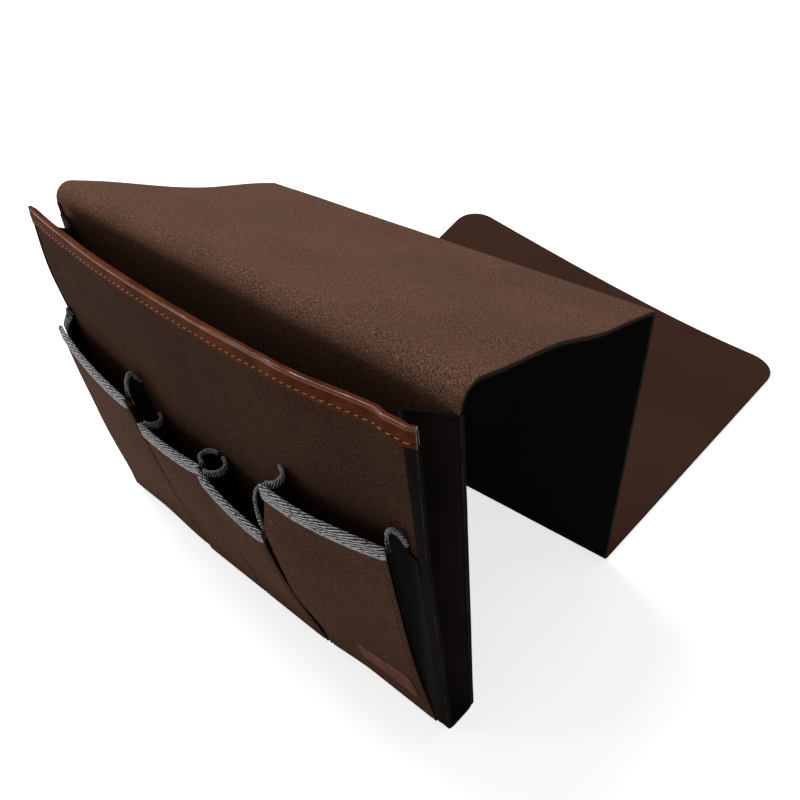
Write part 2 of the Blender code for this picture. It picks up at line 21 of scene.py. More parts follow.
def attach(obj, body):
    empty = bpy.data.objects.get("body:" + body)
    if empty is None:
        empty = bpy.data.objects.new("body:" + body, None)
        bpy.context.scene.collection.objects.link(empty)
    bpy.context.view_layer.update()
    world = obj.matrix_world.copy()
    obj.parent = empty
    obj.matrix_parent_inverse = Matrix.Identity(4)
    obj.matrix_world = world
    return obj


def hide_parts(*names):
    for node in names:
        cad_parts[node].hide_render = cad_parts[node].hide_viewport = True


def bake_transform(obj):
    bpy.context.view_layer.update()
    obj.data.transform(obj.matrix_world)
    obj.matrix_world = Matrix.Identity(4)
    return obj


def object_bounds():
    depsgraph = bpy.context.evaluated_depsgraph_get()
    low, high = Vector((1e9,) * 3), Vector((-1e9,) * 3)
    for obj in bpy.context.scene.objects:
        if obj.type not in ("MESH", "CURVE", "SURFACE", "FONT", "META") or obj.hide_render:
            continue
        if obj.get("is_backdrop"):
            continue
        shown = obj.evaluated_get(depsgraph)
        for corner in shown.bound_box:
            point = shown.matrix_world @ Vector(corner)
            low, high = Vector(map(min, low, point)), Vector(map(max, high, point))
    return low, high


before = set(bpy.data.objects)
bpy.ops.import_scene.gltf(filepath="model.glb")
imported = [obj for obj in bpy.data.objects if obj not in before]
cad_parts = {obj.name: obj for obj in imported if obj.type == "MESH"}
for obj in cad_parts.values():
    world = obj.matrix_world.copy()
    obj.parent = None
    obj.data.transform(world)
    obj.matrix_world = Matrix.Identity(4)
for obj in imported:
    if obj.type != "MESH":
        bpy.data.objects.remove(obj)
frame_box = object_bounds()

bl_info = {
    "name": "Armrest organizer",
    "version": (1, 0, 0),
    "blender": (4, 5, 0),
    "location": "3D View > Sidebar > Organizer",
    "description": "Builds the pieces of a folded suede armrest organizer",
    "category": "Object",
}

CLOTH_MAP = "cloth"

# Where the cover's front corner stands at the near end
ORIGIN_X = -0.2047740

# Cover, behind the sizes in CoverSizes
WALL_FOOT_LEAN = (0.0102, 0.0068)
FRONT_SHIFT_FAR = 0.0012
REAR_LEAN = (0.0152, 0.0210)
FLAP_REACH_POWER = 2.6
FLAP_LIFT_POWER = 1.25
FRONT_BEND_RADIUS = (0.0098, 0.0068)
REAR_BEND_RADIUS = 0.0018
FLAP_BEND_RADIUS = 0.0018
TOP_WAVE = (0.0026, 0.0008)
TOP_CROWN = (0.0006, -0.0040)
COVER_THICKNESS = 0.0032
FOOT_HEIGHT = 0.0045
FOLD_MARGIN = 0.0040
FLAP_DIP = -0.0001
# From this station on the cover lies on the floor
FLAP_STATION = 4.9
# Unevenness of a sheet in layers: (height, size, seed)
COVER_RIPPLES = ((1.0, 0.060, 3.0), (0.45, 0.024, 7.0))
COVER_EDGE_REACH = 0.0011
COVER_BODIES = ("pocket_wall", "cover_top", "rear_wall", "flap")

# Magazine pocket
PANEL_FOOT_OUT = (0.0098, 0.0062)
MOUTH_SWELL_POWER = 1.6
MOUTH_RISE_SHARE = 0.25
MOUTH_FALL_SHARE = 0.50
MOUTH_FALL_POWER = 2.5
BASE_THICKNESS = 0.0016
STRIP_WIDTH = 0.026
STRIP_FOLD_ZONE = (0.004, -0.007)
MAIN_GUSSET_DROP = 0.0110
MAIN_GUSSET_RISE = 0.0060
MAIN_GUSSET_FOLD = 0.0220
MAIN_GUSSET_FOOT_SHARE = 0.35
MAIN_GUSSET_EDGE = 0.0012
MAIN_GUSSET_FOLD_POWER = 1.5
MAIN_GUSSET_CLOTH = (0.235, 0.060)
GUSSET_THICKNESS = 0.0008
# Line of the mouth against its plain swelling: (share, how far out)
MOUTH_LINE = (
    (0.0, 0.0), (0.013, 0.0020), (0.032, 0.0019), (0.053, 0.0013), (0.069, -0.0010),
    (0.105, -0.0021), (0.141, -0.0033), (0.179, -0.0042), (0.221, -0.0048),
    (0.271, -0.0046), (0.300, -0.0040), (0.354, -0.0034), (0.393, -0.0029),
    (0.508, -0.0027), (0.651, -0.0030), (0.832, -0.0026), (0.930, -0.0012), (1.0, 0.0),
)
MOUTH_LINE_LOW = 0.160
MOUTH_LINE_HIGH = 0.240
BOW = (0.0030, 0.0022)
BOW_REACH = (0.017, 0.025)
BOW_HEIGHTS = ((0.075, 0.165, 0.240), (0.166, 0.207, 0.246))
FOOT_SWELL = 0.0030
FOOT_SWELL_FAR = (0.90, 0.20)
FOOT_SWELL_NEAR = (0.18, 0.16)
EDGE_PINCH = 0.44
EDGE_PINCH_REACH = 0.0075
PANEL_EDGE_REACH = 0.00115
PANEL_DENTS = ((0.0007, 0.070, 11.0), (0.0003, 0.026, 5.0))
SIDE_DENTS = ((0.0006, 0.030, 2.0),)
# Crease under the kink of the mouth: where it is at its top, its lean and its form
CREASE_PLACE = -0.1390
CREASE_LEAN = 0.05
CREASE_TOP = 0.245
CREASE_WIDTH = 0.0050
CREASE_RISE = 0.0006
CREASE_START = 0.150
CREASE_GROWTH = 0.080
# How much closer the sides' sewn edges come to the panel and to the wall
TUCK_HEIGHTS = (0.030, 0.090, 0.120, 0.150, 0.180, 0.210)
SIDE_TUCKS = {"near": (0.0006, 0.0006, 0.0003, -0.0001, 0.0001, 0.0004),
              "far": (0.0002, 0.0007, 0.0005, 0.0004, 0.0004, 0.0004)}
WALL_TUCKS = {"near": 0.00052, "far": 0.00072}
# Zone of each side's fold: from the wall, to the panel, and their lean
SIDE_FOLD_ZONES = {"near": (0.0092, -0.0055, 0.059), "far": (0.0047, -0.0028, 0.045)}

# Leather trim: its section as (across, down), from the lower front edge, and its stitches
TRIM_START = 0.962
TRIM_PRESS = 0.0008
TRIM_SECTION = [
    (0.00162, 0.00990), (0.00195, 0.01020), (0.00228, 0.01000), (0.00236, 0.00940),
    (0.00230, 0.00840), (0.00218, 0.00775), (0.00200, 0.00742), (0.00216, 0.00706),
    (0.00226, 0.00620), (0.00218, 0.00440), (0.00188, 0.00250), (0.00168, 0.00120),
    (0.00176, 0.00020), (0.00180, -0.00040), (0.00164, -0.00084), (0.00118, -0.00108),
    (0.00030, -0.00120), (-0.00070, -0.00112), (-0.00136, -0.00082),
    (-0.00166, -0.00020), (-0.00176, 0.00150), (-0.00196, 0.00400),
    (-0.00216, 0.00680), (-0.00200, 0.00742), (-0.00218, 0.00800),
    (-0.00226, 0.00940), (-0.00220, 0.01000), (-0.00190, 0.01020),
    (-0.00162, 0.00990), (-0.00104, 0.00010), (0.00104, 0.00010),
]
TRIM_GROOVE_DOWN = 0.00742
TRIM_GROOVE_OUT = 0.00200
# Bands round the section, from its lower front edge: start, end, softness. The groove's band is
# painted shade; the ridge's band is a clear coat with a painted highlight
TRIM_GROOVE = (0.00320, 0.00376, 0.00025)
TRIM_RIDGE_COAT_AND_HIGHLIGHT = (0.01040, 0.01240, 0.00060)
STITCH_START = 0.0025
THREAD_RADIUS = 0.00038
THREAD_RISE = 0.00042
THREAD_DIP = 0.00012
THREAD_SLANT = 0.0006

# Bindings on the ends of the outer panel and of the cover's wall
BINDING_THICKNESS = 0.0004
PANEL_BINDING_WIDTHS = (0.0060, 0.0020)
WALL_BINDING_WIDTHS = (0.0050, 0.0050)
BINDING_TOP = 0.2362

# Small pockets
POCKET_FABRIC = 0.0014
POCKET_FOOT_DEPTH = 0.0003
POCKET_BELLY = 0.0015
GUSSET_FOOT_HEIGHT = 0.0150
TAPE_THICKNESS = 0.0006
LOOP_TAPE_THICKNESS = 0.00045
TAPE_GAP = 0.00015
TAPE_END = 0.0008
CLEARANCE = 0.0003
SIDE_STANDOFF = 0.0009
LOOP_CLOTH = (0.16, 0.03)
# Stand-off of the fold zone of a side from the panel, and from the front
LOOP_FOLD_START = 0.0010
LOOP_FOLD_END = 0.0012
# Height over which a front leaves the panel that its foot is sewn to
SEWN_FOOT = 0.014
# Sewn line along a front's sides
SEAM_INSET = 0.0022
SEAM_DEPTH = 0.00040
SEAM_WIDTH = 0.0005
# Columns at a front's ends, closer together at its seam, in widths of its rim
FRONT_ENDS = (1.0, 1.6, 2.4, 3.4, 4.2, 4.7, 5.2, 5.7, 6.4, 7.4, 8.5)
# Drop of the loops' tape beside the front, and beyond it on the far and near sides
LOOP_TAPE_TAIL = 3.4
LOOP_TAPE_BODY = (1.6, 1.0)
# The sewn edge of the widest pocket's near side
FLANGE_HEIGHTS = (0.006, 0.160)
FLANGE_END = -0.1566
FLANGE_RAISED = 0.0009
FLANGE_THICKNESS = 0.0005
FLANGE_CLOTH = (0.15, 0.01)
# Patch's lower and upper edge, left to right, and its left and right one, low to high
PATCHED_POCKET = 4
PATCH_HEIGHTS = ((0.150, 0.116), (0.275, 0.232))
PATCH_SIDES = ((0.440, 0.475), (0.940, 0.920))
PATCH_THICKNESS = 0.0011
PATCH_CLOTH = (0.019, 0.042)

# Points closer than this are one point of a mesh
WELD_DISTANCE = 2e-7

# Stage
WHITE = (1.0, 1.0, 1.0, 1.0)
FLOOR_REACH = 6.0
FLOOR_HEIGHT = -0.0002
FLOOR_GLOW = 0.72
SKY_LIGHT = 0.30
LAMPS = {
    "overhead": {"place": (0.05, 0.95, 1.90), "target": (0.0, 0.0, 0.1),
                 "size": 1.2, "power": 27.0},
    "left_back": {"place": (-1.3, 1.1, 0.35), "target": (-0.15, 0.0, 0.12),
                  "size": 0.5, "power": 4.6},
}
CAMERA_PLACE = (ORIGIN_X - 0.2195647, -0.340951, 0.467981)
CAMERA_RIGHT = (0.66921884, -0.74166698, -0.04556568)
CAMERA_UP = (0.48207578, 0.38668488, 0.7861792)
CAMERA_BACK = (-0.5654636, -0.54809205, 0.6163165)
CAMERA_LENS = 38.25


def length(name, description, default):
    return FloatProperty(
        name=name, description=description, default=default, min=0.0,
        unit="LENGTH", subtype="DISTANCE",
    )


def colour(name, description, default):
    return FloatVectorProperty(
        name=name, description=description, default=default, size=3,
        min=0.0, max=1.0, subtype="COLOR",
    )


class CoverSizes(bpy.types.PropertyGroup):
    """The long stiffened sheet that hangs over the armrest."""

    length: length("Length", "Along the armrest", 0.325)
    front_near: length("Front height near", "Front corner at the near end", 0.2543)
    front_far: length("Front height far", "Front corner at the far end", 0.2605)
    top_near: length("Top width near", "Across the armrest at the near end", 0.1810)
    top_far: length("Top width far", "Across the armrest at the far end", 0.1755)
    rear_near: length("Rear height near", "Rear corner at the near end", 0.2005)
    rear_far: length("Rear height far", "Rear corner at the far end", 0.1955)
    flap_near: length("Flap reach near", "Rear wall to flap's edge, near end", 0.2955)
    flap_far: length("Flap reach far", "Rear wall to flap's edge, far end", 0.2785)
    flap_corner: length("Flap corner", "Radius of the flap's corners", 0.025)
    flap_lift: FloatProperty(
        name="Flap lift", description="Slope of the flap at the far end",
        default=math.radians(16.5), subtype="ANGLE",
    )
    ripple: length("Ripple", "Height of the soft ripples of the suede", 0.0004)


class PocketSizes(bpy.types.PropertyGroup):
    """The magazine pocket and the small pockets on it."""

    panel_near: length("Panel height near", "Outer panel at the near end", 0.2465)
    panel_far: length("Panel height far", "Outer panel at the far end", 0.2482)
    mouth_near: length("Mouth near", "How far the mouth stands out, near end", 0.0272)
    mouth_far: length("Mouth far", "How far the mouth stands out, far end", 0.0190)
    mouth_swell: length("Mouth swell", "Bulge of the mouth in between", 0.0142)
    stitch_pitch: length("Stitch pitch", "From stitch to stitch on the trim", 0.0048)
    stitch_length: length("Stitch length", "Thread that shows in one stitch", 0.0034)
    tape_drop: length("Tape height", "Binding tape down from a pocket's edge", 0.0088)
    loop_tape: length("Loop tape height", "Binding tape on the gussets", 0.0024)
    seam_round: length("Seam rounding", "How far from its sides a front turns in", 0.0032)


class Colours(bpy.types.PropertyGroup):
    """Colours of the cloths, leathers and threads."""

    suede: colour("Suede", "Cover, top side", (0.109, 0.0545, 0.0345))
    pocket: colour("Pocket suede", "Fronts of the small pockets", (0.080, 0.039, 0.0235))
    # The panel's colour is the pocket suede made darker: partly the panel's own tone, partly
    # painted shade for its shaded face
    panel: colour("Panel suede", "Outer panel of the magazine pocket", (0.049, 0.0245, 0.0150))
    # The flap's colour is darker partly for its smoother suede and partly as painted shade for
    # the cover's shadow on it
    flap: colour("Flap suede", "Smooth suede of the flap", (0.055, 0.025, 0.0155))
    lining: colour("Lining", "Inside of the cover", (0.0042, 0.0034, 0.0027))
    gusset: colour("Gusset cloth", "Folded sides of the pockets", (0.0050, 0.0043, 0.0037))
    core: colour("Core felt", "Stiffening felt at the cover's edges", (0.030, 0.027, 0.021))
    side: colour("Side cloth", "Folded sides of the magazine pocket", (0.0095, 0.0058, 0.0046))
    binding: colour("Binding cloth", "Ends of the panel and the wall", (0.0068, 0.0056, 0.0048))
    tape_light: colour("Tape, light threads", "Binding tape", (0.78, 0.77, 0.78))
    tape_dark: colour("Tape, dark threads", "Binding tape", (0.014, 0.013, 0.014))
    trim: colour("Trim leather", "Leather at the magazine pocket's mouth", (0.108, 0.027, 0.0080))
    trim_cut: colour("Trim cut edge", "Raw end of the leather", (0.52, 0.46, 0.36))
    patch: colour("Patch leather", "Bare leather patch", (0.185, 0.075, 0.055))
    thread: colour("Thread", "Stitches on the trim", (0.42, 0.21, 0.11))
    floor: colour("Floor", "Floor under the organizer", (0.86, 0.86, 0.86))


def mix(near, far, share):
    return near + (far - near) * share


def clamp(share):
    return min(max(share, 0.0), 1.0)


def ease(share):
    share = clamp(share)
    return share * share * (3 - 2 * share)


def steps(start, end, count):
    return [mix(start, end, i / count) for i in range(count + 1)]


def unit(vector):
    return vector / max(np.linalg.norm(vector), 1e-12)


def uneven(u, v, layers):
    return sum(height * ripple(u, v, size, seed) for height, size, seed in layers)


def turned_left(direction):
    return np.array([-direction[1], direction[0]])


def ripple(u, v, size, seed):
    """Smooth unevenness of cloth between about -1 and 1."""
    return noise.noise(Vector((u / size, v / size, seed)))


class Section:
    """The cover's suede face in the X-Z plane at one place along the armrest.

    Stretches along the sheet: 0 pocket wall, 1 front bend, 2 top, 3 rear bend,
    4 rear wall, 5 flap bend, 6 flap.
    """

    def __init__(self, sizes, share):
        front = (mix(0.0, -FRONT_SHIFT_FAR, share),
                 mix(sizes.front_near, sizes.front_far, share))
        rear_x = mix(sizes.top_near, sizes.top_far, share)
        reach = mix(sizes.flap_far, sizes.flap_near, (1 - share) ** FLAP_REACH_POWER)
        lift = sizes.flap_lift * share**FLAP_LIFT_POWER
        flap_corner = np.array([rear_x - mix(*REAR_LEAN, share), COVER_THICKNESS])
        self.corners = [
            np.array([mix(*WALL_FOOT_LEAN, share), FOOT_HEIGHT]),
            np.array(front),
            np.array([rear_x, mix(sizes.rear_near, sizes.rear_far, share)]),
            flap_corner,
            flap_corner + reach * np.array([math.cos(lift), math.sin(lift)]),
        ]
        self.corners = [corner + np.array([ORIGIN_X, 0.0]) for corner in self.corners]
        self.radii = [
            mix(*FRONT_BEND_RADIUS, share) + COVER_THICKNESS,
            REAR_BEND_RADIUS + COVER_THICKNESS,
            FLAP_BEND_RADIUS,
        ]
        self.wave = mix(*TOP_WAVE, share)
        self.crown = mix(*TOP_CROWN, share)
        self.directions = [
            unit(b - a) for a, b in zip(self.corners[:-1], self.corners[1:])
        ]
        self.bends = [self.bend(i) for i in range(3)]

    def bend(self, index):
        before, after = self.directions[index], self.directions[index + 1]
        cross = before[0] * after[1] - before[1] * after[0]
        turn = math.atan2(cross, float(before @ after))
        radius = self.radii[index]
        tangent = radius * math.tan(abs(turn) / 2)
        start = self.corners[index + 1] - before * tangent
        side = turned_left(before) * math.copysign(1, turn)
        return {
            "centre": start + side * radius, "spoke": -side * radius, "turn": turn,
            "start": start, "end": self.corners[index + 1] + after * tangent,
        }

    def straight(self, index):
        start = self.corners[0] if index == 0 else self.bends[index - 1]["end"]
        end = self.corners[-1] if index == 3 else self.bends[index]["start"]
        return start, end

    def length(self, stretch):
        if stretch % 2:
            bend = self.bends[stretch // 2]
            return abs(bend["turn"]) * self.radii[stretch // 2]
        start, end = self.straight(stretch // 2)
        return float(np.linalg.norm(end - start))

    def point(self, station):
        stretch = min(max(int(station), 0), 6)
        share = station - stretch
        if stretch % 2:
            bend = self.bends[stretch // 2]
            angle = bend["turn"] * share
            c, s = math.cos(angle), math.sin(angle)
            return bend["centre"] + np.array([[c, -s], [s, c]]) @ bend["spoke"]
        start, end = self.straight(stretch // 2)
        place = start + (end - start) * share
        if stretch == 2:
            hump = math.sin(math.pi * share) ** 2
            rise = hump * (self.crown + self.wave * math.sin(2 * math.pi * share))
            place = place + turned_left(unit(end - start)) * rise
        return place


class Cover:
    """The cover's surface: a station along the sheet and a share of the length."""

    def __init__(self, sizes):
        self.sizes = sizes
        self.length = sizes.length
        self.section = functools.lru_cache(maxsize=None)(self.make_section)
        middle = self.section(0.5)
        self.lengths = [middle.length(stretch) for stretch in range(7)]
        self.starts = [sum(self.lengths[:i]) for i in range(8)]

    def make_section(self, share):
        return Section(self.sizes, clamp(share))

    def y(self, share):
        return mix(-self.length / 2, self.length / 2, share)

    def share(self, y):
        return (y + self.length / 2) / self.length

    def distance(self, station):
        """Length of sheet from the wall's foot to a station."""
        stretch = min(max(int(station), 0), 6)
        return self.starts[stretch] + (station - stretch) * self.lengths[stretch]

    def margin(self, stretch, distance):
        return distance / self.lengths[stretch]

    def shares(self, inset):
        """Shares along the armrest from end to end, less an inset at both."""
        side = inset / self.length
        return steps(side, 1 - side, 56)

    def point(self, station, share):
        x, z = self.section(share).point(station)
        return np.array([x, self.y(share), z])

    def cloth(self, station, share):
        return self.distance(station), share * self.length

    def wall_x(self, share, z):
        foot, top = self.section(share).straight(0)
        return mix(foot[0], top[0], (z - foot[1]) / (top[1] - foot[1]))

    def fold(self, index):
        """Two points before and after a fold, square to its axis."""
        near, far = self.section(0.0).bends[index], self.section(1.0).bends[index]
        axis = unit(self.at(far["centre"], 1.0) - self.at(near["centre"], 0.0))
        start, end = (
            (self.at(near[k], 0.0) + self.at(far[k], 1.0)) / 2 for k in ("start", "end")
        )
        across = end - start
        return start, start + across - axis * float(across @ axis)

    def at(self, corner, share):
        return np.array([corner[0], self.y(share), corner[1]])


class MagazinePocket:
    """The outer panel that stands before the cover's wall."""

    def __init__(self, cover, sizes):
        self.cover = cover
        self.sizes = sizes

    def height(self, share):
        return mix(self.sizes.panel_near, self.sizes.panel_far, share)

    def swelling(self, share):
        rise = ease(share / MOUTH_RISE_SHARE)
        past = max((share - MOUTH_FALL_SHARE) / (1 - MOUTH_FALL_SHARE), 0.0)
        return self.sizes.mouth_swell * rise * (1 - min(past, 1.0) ** MOUTH_FALL_POWER)

    def bow(self, share, z):
        """How far the panel's free ends curl outward."""
        total = 0.0
        for end, (low, peak, high) in enumerate(BOW_HEIGHTS):
            away = (share if end == 0 else 1 - share) * self.cover.length
            along = ease((z - low) / (peak - low)) * ease((high - z) / (high - peak))
            total += BOW[end] * along * (1 - ease(away / BOW_REACH[end]))
        return total

    def x(self, share, z):
        height = (z - FOOT_HEIGHT) / (self.height(share) - FOOT_HEIGHT)
        foot = mix(*PANEL_FOOT_OUT, share)
        mouth = mix(self.sizes.mouth_near, self.sizes.mouth_far, share)
        bulge = self.swelling(share) * max(height, 0.0) ** MOUTH_SWELL_POWER
        (far, far_reach), (near, near_reach) = FOOT_SWELL_FAR, FOOT_SWELL_NEAR
        foot_bulge = FOOT_SWELL * ease((far - share) / far_reach) * ease(
            (share - near) / near_reach) * (1 - clamp(height)) ** 4
        line = float(np.interp(share, *zip(*MOUTH_LINE))) * ease(
            (z - MOUTH_LINE_LOW) / (MOUTH_LINE_HIGH - MOUTH_LINE_LOW))
        return ORIGIN_X - (
            mix(foot, mouth, height) + bulge + foot_bulge + line + self.bow(share, z))

    def place(self, y, z, off):
        """A place at a distance off the panel's outer face."""
        return np.array([self.x(self.cover.share(y), z) - off, y, z])

    def pinch(self, share):
        """Share of the panel's thickness left near its sewn ends."""
        away = min(share, 1 - share) * self.cover.length
        return 1 - EDGE_PINCH * (1 - ease(away / EDGE_PINCH_REACH))

    def thickness(self, share):
        return COVER_THICKNESS * self.pinch(share)

    def point(self, up, share):
        z = mix(FOOT_HEIGHT, self.height(share), up)
        return np.array([self.x(share, z), self.cover.y(share), z])

    def cloth(self, up, share):
        return up * self.height(0.5), share * self.cover.length


Loop = namedtuple("Loop", "fold rise back shift", defaults=(0.0, 0.0, 0.0))
Plan = namedtuple("Plan", "edges heights depths foot loops spread fullness bellies flare",
                  defaults=((0.0, 0.0), (1.8, 1.8), (0.0, 0.0), 0.0))

# Each pair runs from a pocket's far side to its near side
SMALL_POCKETS = [
    Plan((0.1615, 0.0627), (0.1650, 0.1570), (0.0102, 0.0165), 0.0070,
         (Loop(0.0045, 0.0060, 0.0090), Loop(0.0010, 0.0110, 0.0010, -0.0075)),
         spread=(0.0, 0.0040), fullness=(1.9, 1.8)),
    Plan((0.0613, -0.0003), (0.1400, 0.1400), (0.0165, 0.0155), 0.0046,
         (Loop(0.0070, 0.0, -0.0035, 0.0045), Loop(0.0070, 0.0012))),
    Plan((-0.0017, -0.0633), (0.1385, 0.1330), (0.0180, 0.0230), 0.0046,
         (Loop(0.0080), Loop(0.0115, 0.0170, 0.0040))),
    Plan((-0.0647, -0.1450), (0.1680, 0.1680), (0.0145, 0.0110), 0.0050,
         (Loop(0.0065, 0.0010, 0.0045), Loop(0.0030, 0.0100, -0.0020, 0.0060)),
         fullness=(1.8, 1.2), bellies=(0.0080, 0.0), flare=0.0090),
]


class SmallPocket:
    """One bellows pocket on the outer panel: side 0 is its far side, 1 its near one."""

    def __init__(self, panel, sizes, number):
        self.panel = panel
        self.seam_round = sizes.seam_round
        self.number = number
        self.name = f"small_pocket_{number}"
        self.plan = SMALL_POCKETS[number - 1]
        self.foot = self.plan.foot
        self.width = self.plan.edges[0] - self.plan.edges[1]

    def y(self, up, across):
        far, near = (e + s * up for e, s in zip(self.plan.edges, self.plan.spread))
        near -= self.plan.flare * (1 - clamp(up)) ** 5
        return mix(far, near, across)

    def depth(self, up, across):
        up, inside = clamp(up), clamp(across)
        far, near = (
            POCKET_FOOT_DEPTH + (depth - POCKET_FOOT_DEPTH) * (1 - (1 - up) ** power)
            for depth, power in zip(self.plan.depths, self.plan.fullness)
        )
        belly = POCKET_BELLY * math.sin(math.pi * inside) * up
        belly += mix(*self.plan.bellies, ease(inside)) * (
            ease(up / 0.5) * (1 - ease((up - 0.78) / 0.20)))
        past = max(1 - min(inside, 1 - inside) * self.width / self.seam_round, 0.0)
        turned = 0.55 * self.seam_round * (1 - math.sqrt(max(1 - past * past, 0.0)))
        return mix(far, near, across) + belly - turned * ease(up / 0.15)

    def top(self, across):
        return mix(*self.plan.heights, across)

    def point(self, up, across):
        """The front's inner face."""
        y = self.y(up, across)
        z = mix(self.foot, self.top(across), up)
        return self.panel.place(y, z, self.depth(up, across))

    def outer_point(self, up, across):
        return self.point(up, across) - np.array([POCKET_FABRIC, 0.0, 0.0])

    def cloth(self, up, across):
        return up * self.top(0.5), 0.5 * self.number + across * self.width

    def gusset_point(self, side, up, across):
        """A side's cloth from the front (across 0) to the outer panel (across 1)."""
        inward = -1 if side == 0 else 1
        loop = self.plan.loops[side]
        top = self.top(side)
        over = clamp(across)
        arch = math.sin(math.pi * over)
        rise = loop.rise * arch**0.75 + loop.back * ease(over)
        z = mix(GUSSET_FOOT_HEIGHT, top + rise, up)
        level = min((z - self.foot) / (top - self.foot), 1.0)
        front = self.point(level, side)
        margin = TAPE_GAP + GUSSET_THICKNESS / 2
        opened = (self.depth(level, side) - POCKET_FOOT_DEPTH) / (
            self.depth(1.0, side) - POCKET_FOOT_DEPTH)
        y = front[1] + inward * (
            SIDE_STANDOFF + loop.fold * clamp(opened) * arch - loop.shift * ease(over) * level)
        start = front[0] + margin + mix(0.0, TAPE_THICKNESS, level)
        end = self.panel.place(y, z, margin + mix(0.0, TAPE_THICKNESS, level))[0]
        return np.array([mix(start, end, (1 - math.cos(math.pi * across)) / 2), y, z])


def surface_normal(point, a, b, small=0.001):
    b = min(max(b, 4 * small), 1 - 4 * small)
    da = point(a + small, b) - point(a - small, b)
    db = point(a, b + small) - point(a, b - small)
    return unit(np.cross(da, db))


def surface_grid(point, a_values, b_values):
    rows = [b_values(a) if callable(b_values) else b_values for a in a_values]
    return np.array([[point(a, b) for b in row] for a, row in zip(a_values, rows)], float)


def travelled(points):
    """Length along a line of points, at each of them."""
    return np.concatenate(
        [[0.0], np.cumsum(np.linalg.norm(np.diff(points, axis=0), axis=1))])


def closed_line(points):
    return np.concatenate([points, points[:1]])


def border_runs(rows, columns, joined):
    """The grid's border as runs of (row, column), with the joined sides apart."""
    sides = {
        "first": [(0, j) for j in range(columns)],
        "right": [(i, columns - 1) for i in range(rows)],
        "last": [(rows - 1, j) for j in range(columns - 1, -1, -1)],
        "left": [(i, 0) for i in range(rows - 1, -1, -1)],
    }
    order = list(sides)
    while joined and order[0] not in joined:
        order = order[1:] + order[:1]
    runs = []
    for side in order:
        if side in joined or not runs or runs[-1][0]:
            runs.append([side in joined, list(sides[side])])
        else:
            runs[-1][1] += sides[side][1:]
    return runs


def outward(points, normals, closed):
    """Unit vectors that point off the sheet along a run of its border."""
    if closed:
        along = np.roll(points, -1, axis=0) - np.roll(points, 1, axis=0)
    else:
        along = np.gradient(points, axis=0)
    side = np.cross(along, normals)
    return side / np.linalg.norm(side, axis=1, keepdims=True)


def rim_patches(face, normals, behind, flat, profile, joined, slots):
    """The sheet's edge: a profile of (out, deep, zone) swept round the border."""
    rows, columns = face.shape[:2]
    lines = []
    for is_joined, run in border_runs(rows, columns, joined):
        i, j = np.array(run if joined else run[:-1]).T
        inner = np.clip(i, 1, rows - 2), np.clip(j, 1, columns - 2)
        out = outward(face[i, j], normals[i, j], not joined)
        if float(((face[i, j] - face[inner]) * out).sum()) < 0:
            out = -out
        step = flat[i, j] - flat[inner]
        step = step / np.maximum(np.linalg.norm(step, axis=1, keepdims=True), 1e-9)
        free = 0.0 if is_joined else 1.0
        lines.append((face[i, j], behind[i, j], out * free, flat[i, j], step * free))
    ring, inward, out, uv, uv_out = (np.concatenate(line) for line in zip(*lines))
    along = travelled(np.array([[far, deep] for far, deep, _ in profile]))
    rings = [closed_line(ring + out * far - inward * deep) for far, deep, _ in profile]
    uvs = [closed_line(uv + uv_out * length) for length in along]
    return [(np.array(rings[k:k + 2]), np.array(uvs[k:k + 2]), slots[profile[k][2]])
            for k in range(len(profile) - 1)]


@contextlib.contextmanager
def edited(mesh):
    """The mesh as a bmesh, which is written back with its faces turned outward."""
    work = bmesh.new()
    work.from_mesh(mesh)
    yield work
    bmesh.ops.recalc_face_normals(work, faces=work.faces)
    work.to_mesh(mesh)
    work.free()


def make_object(name, patches, kinds, smooth_angle=50.0):
    """Welds patches, each a grid of points with its grid of cloth coordinates."""
    vertices, flats, faces, slots = [], [], [], []
    for points, uv, slot in patches:
        rows, columns = points.shape[:2]
        index = len(vertices) + np.arange(rows * columns).reshape(rows, columns)
        corners = index[:-1, :-1], index[1:, :-1], index[1:, 1:], index[:-1, 1:]
        quads = np.stack(corners, axis=-1).reshape(-1, 4).tolist()
        vertices += points.reshape(-1, 3).tolist()
        flats += uv.reshape(-1, 2).tolist()
        faces += quads
        slots += [slot] * len(quads)
    mesh = bpy.data.meshes.new(name)
    mesh.from_pydata(vertices, [], faces)
    layer = mesh.uv_layers.new(name=CLOTH_MAP)
    layer.data.foreach_set("uv", [c for face in faces for q in face for c in flats[q]])
    mesh.polygons.foreach_set("material_index", slots)
    for kind in kinds:
        mesh.materials.append(finish(kind))
    with edited(mesh) as work:
        bmesh.ops.remove_doubles(work, verts=work.verts, dist=WELD_DISTANCE)
        bmesh.ops.dissolve_degenerate(work, dist=WELD_DISTANCE / 20, edges=work.edges)
    mesh.shade_smooth()
    mesh.set_sharp_from_angle(angle=math.radians(smooth_angle))
    obj = bpy.data.objects.new(name, mesh)
    bpy.context.scene.collection.objects.link(obj)
    return obj


def make_sheet(name, surface, a_values, b_values, thickness, profile, zones,
               facing=1, joined=(), relief=None, back=None):
    """A sheet of cloth with a real thickness and a shaped edge.

    surface is its point and its place on the cloth. zones gives the finish of the
    face, the back and each zone of the edge. relief lifts the face, and back is the
    share of the thickness left at a place.
    """
    point, cloth = surface
    face = surface_grid(point, a_values, b_values)
    normals = facing * surface_grid(
        lambda a, b: surface_normal(point, a, b), a_values, b_values)
    flat = surface_grid(cloth, a_values, b_values)
    if relief:
        face = face + normals * surface_grid(relief, a_values, b_values)[..., None]
    behind = normals
    if back:
        behind = normals * surface_grid(back, a_values, b_values)[..., None]
    kinds = list(dict.fromkeys(zones.values()))
    slots = {zone: kinds.index(kind) for zone, kind in zones.items()}
    patches = [(face, flat, slots["face"]), (face - behind * thickness, flat, slots["back"]),
               *rim_patches(face, normals, behind, flat, profile, joined, slots)]
    return make_object(name, patches, kinds)


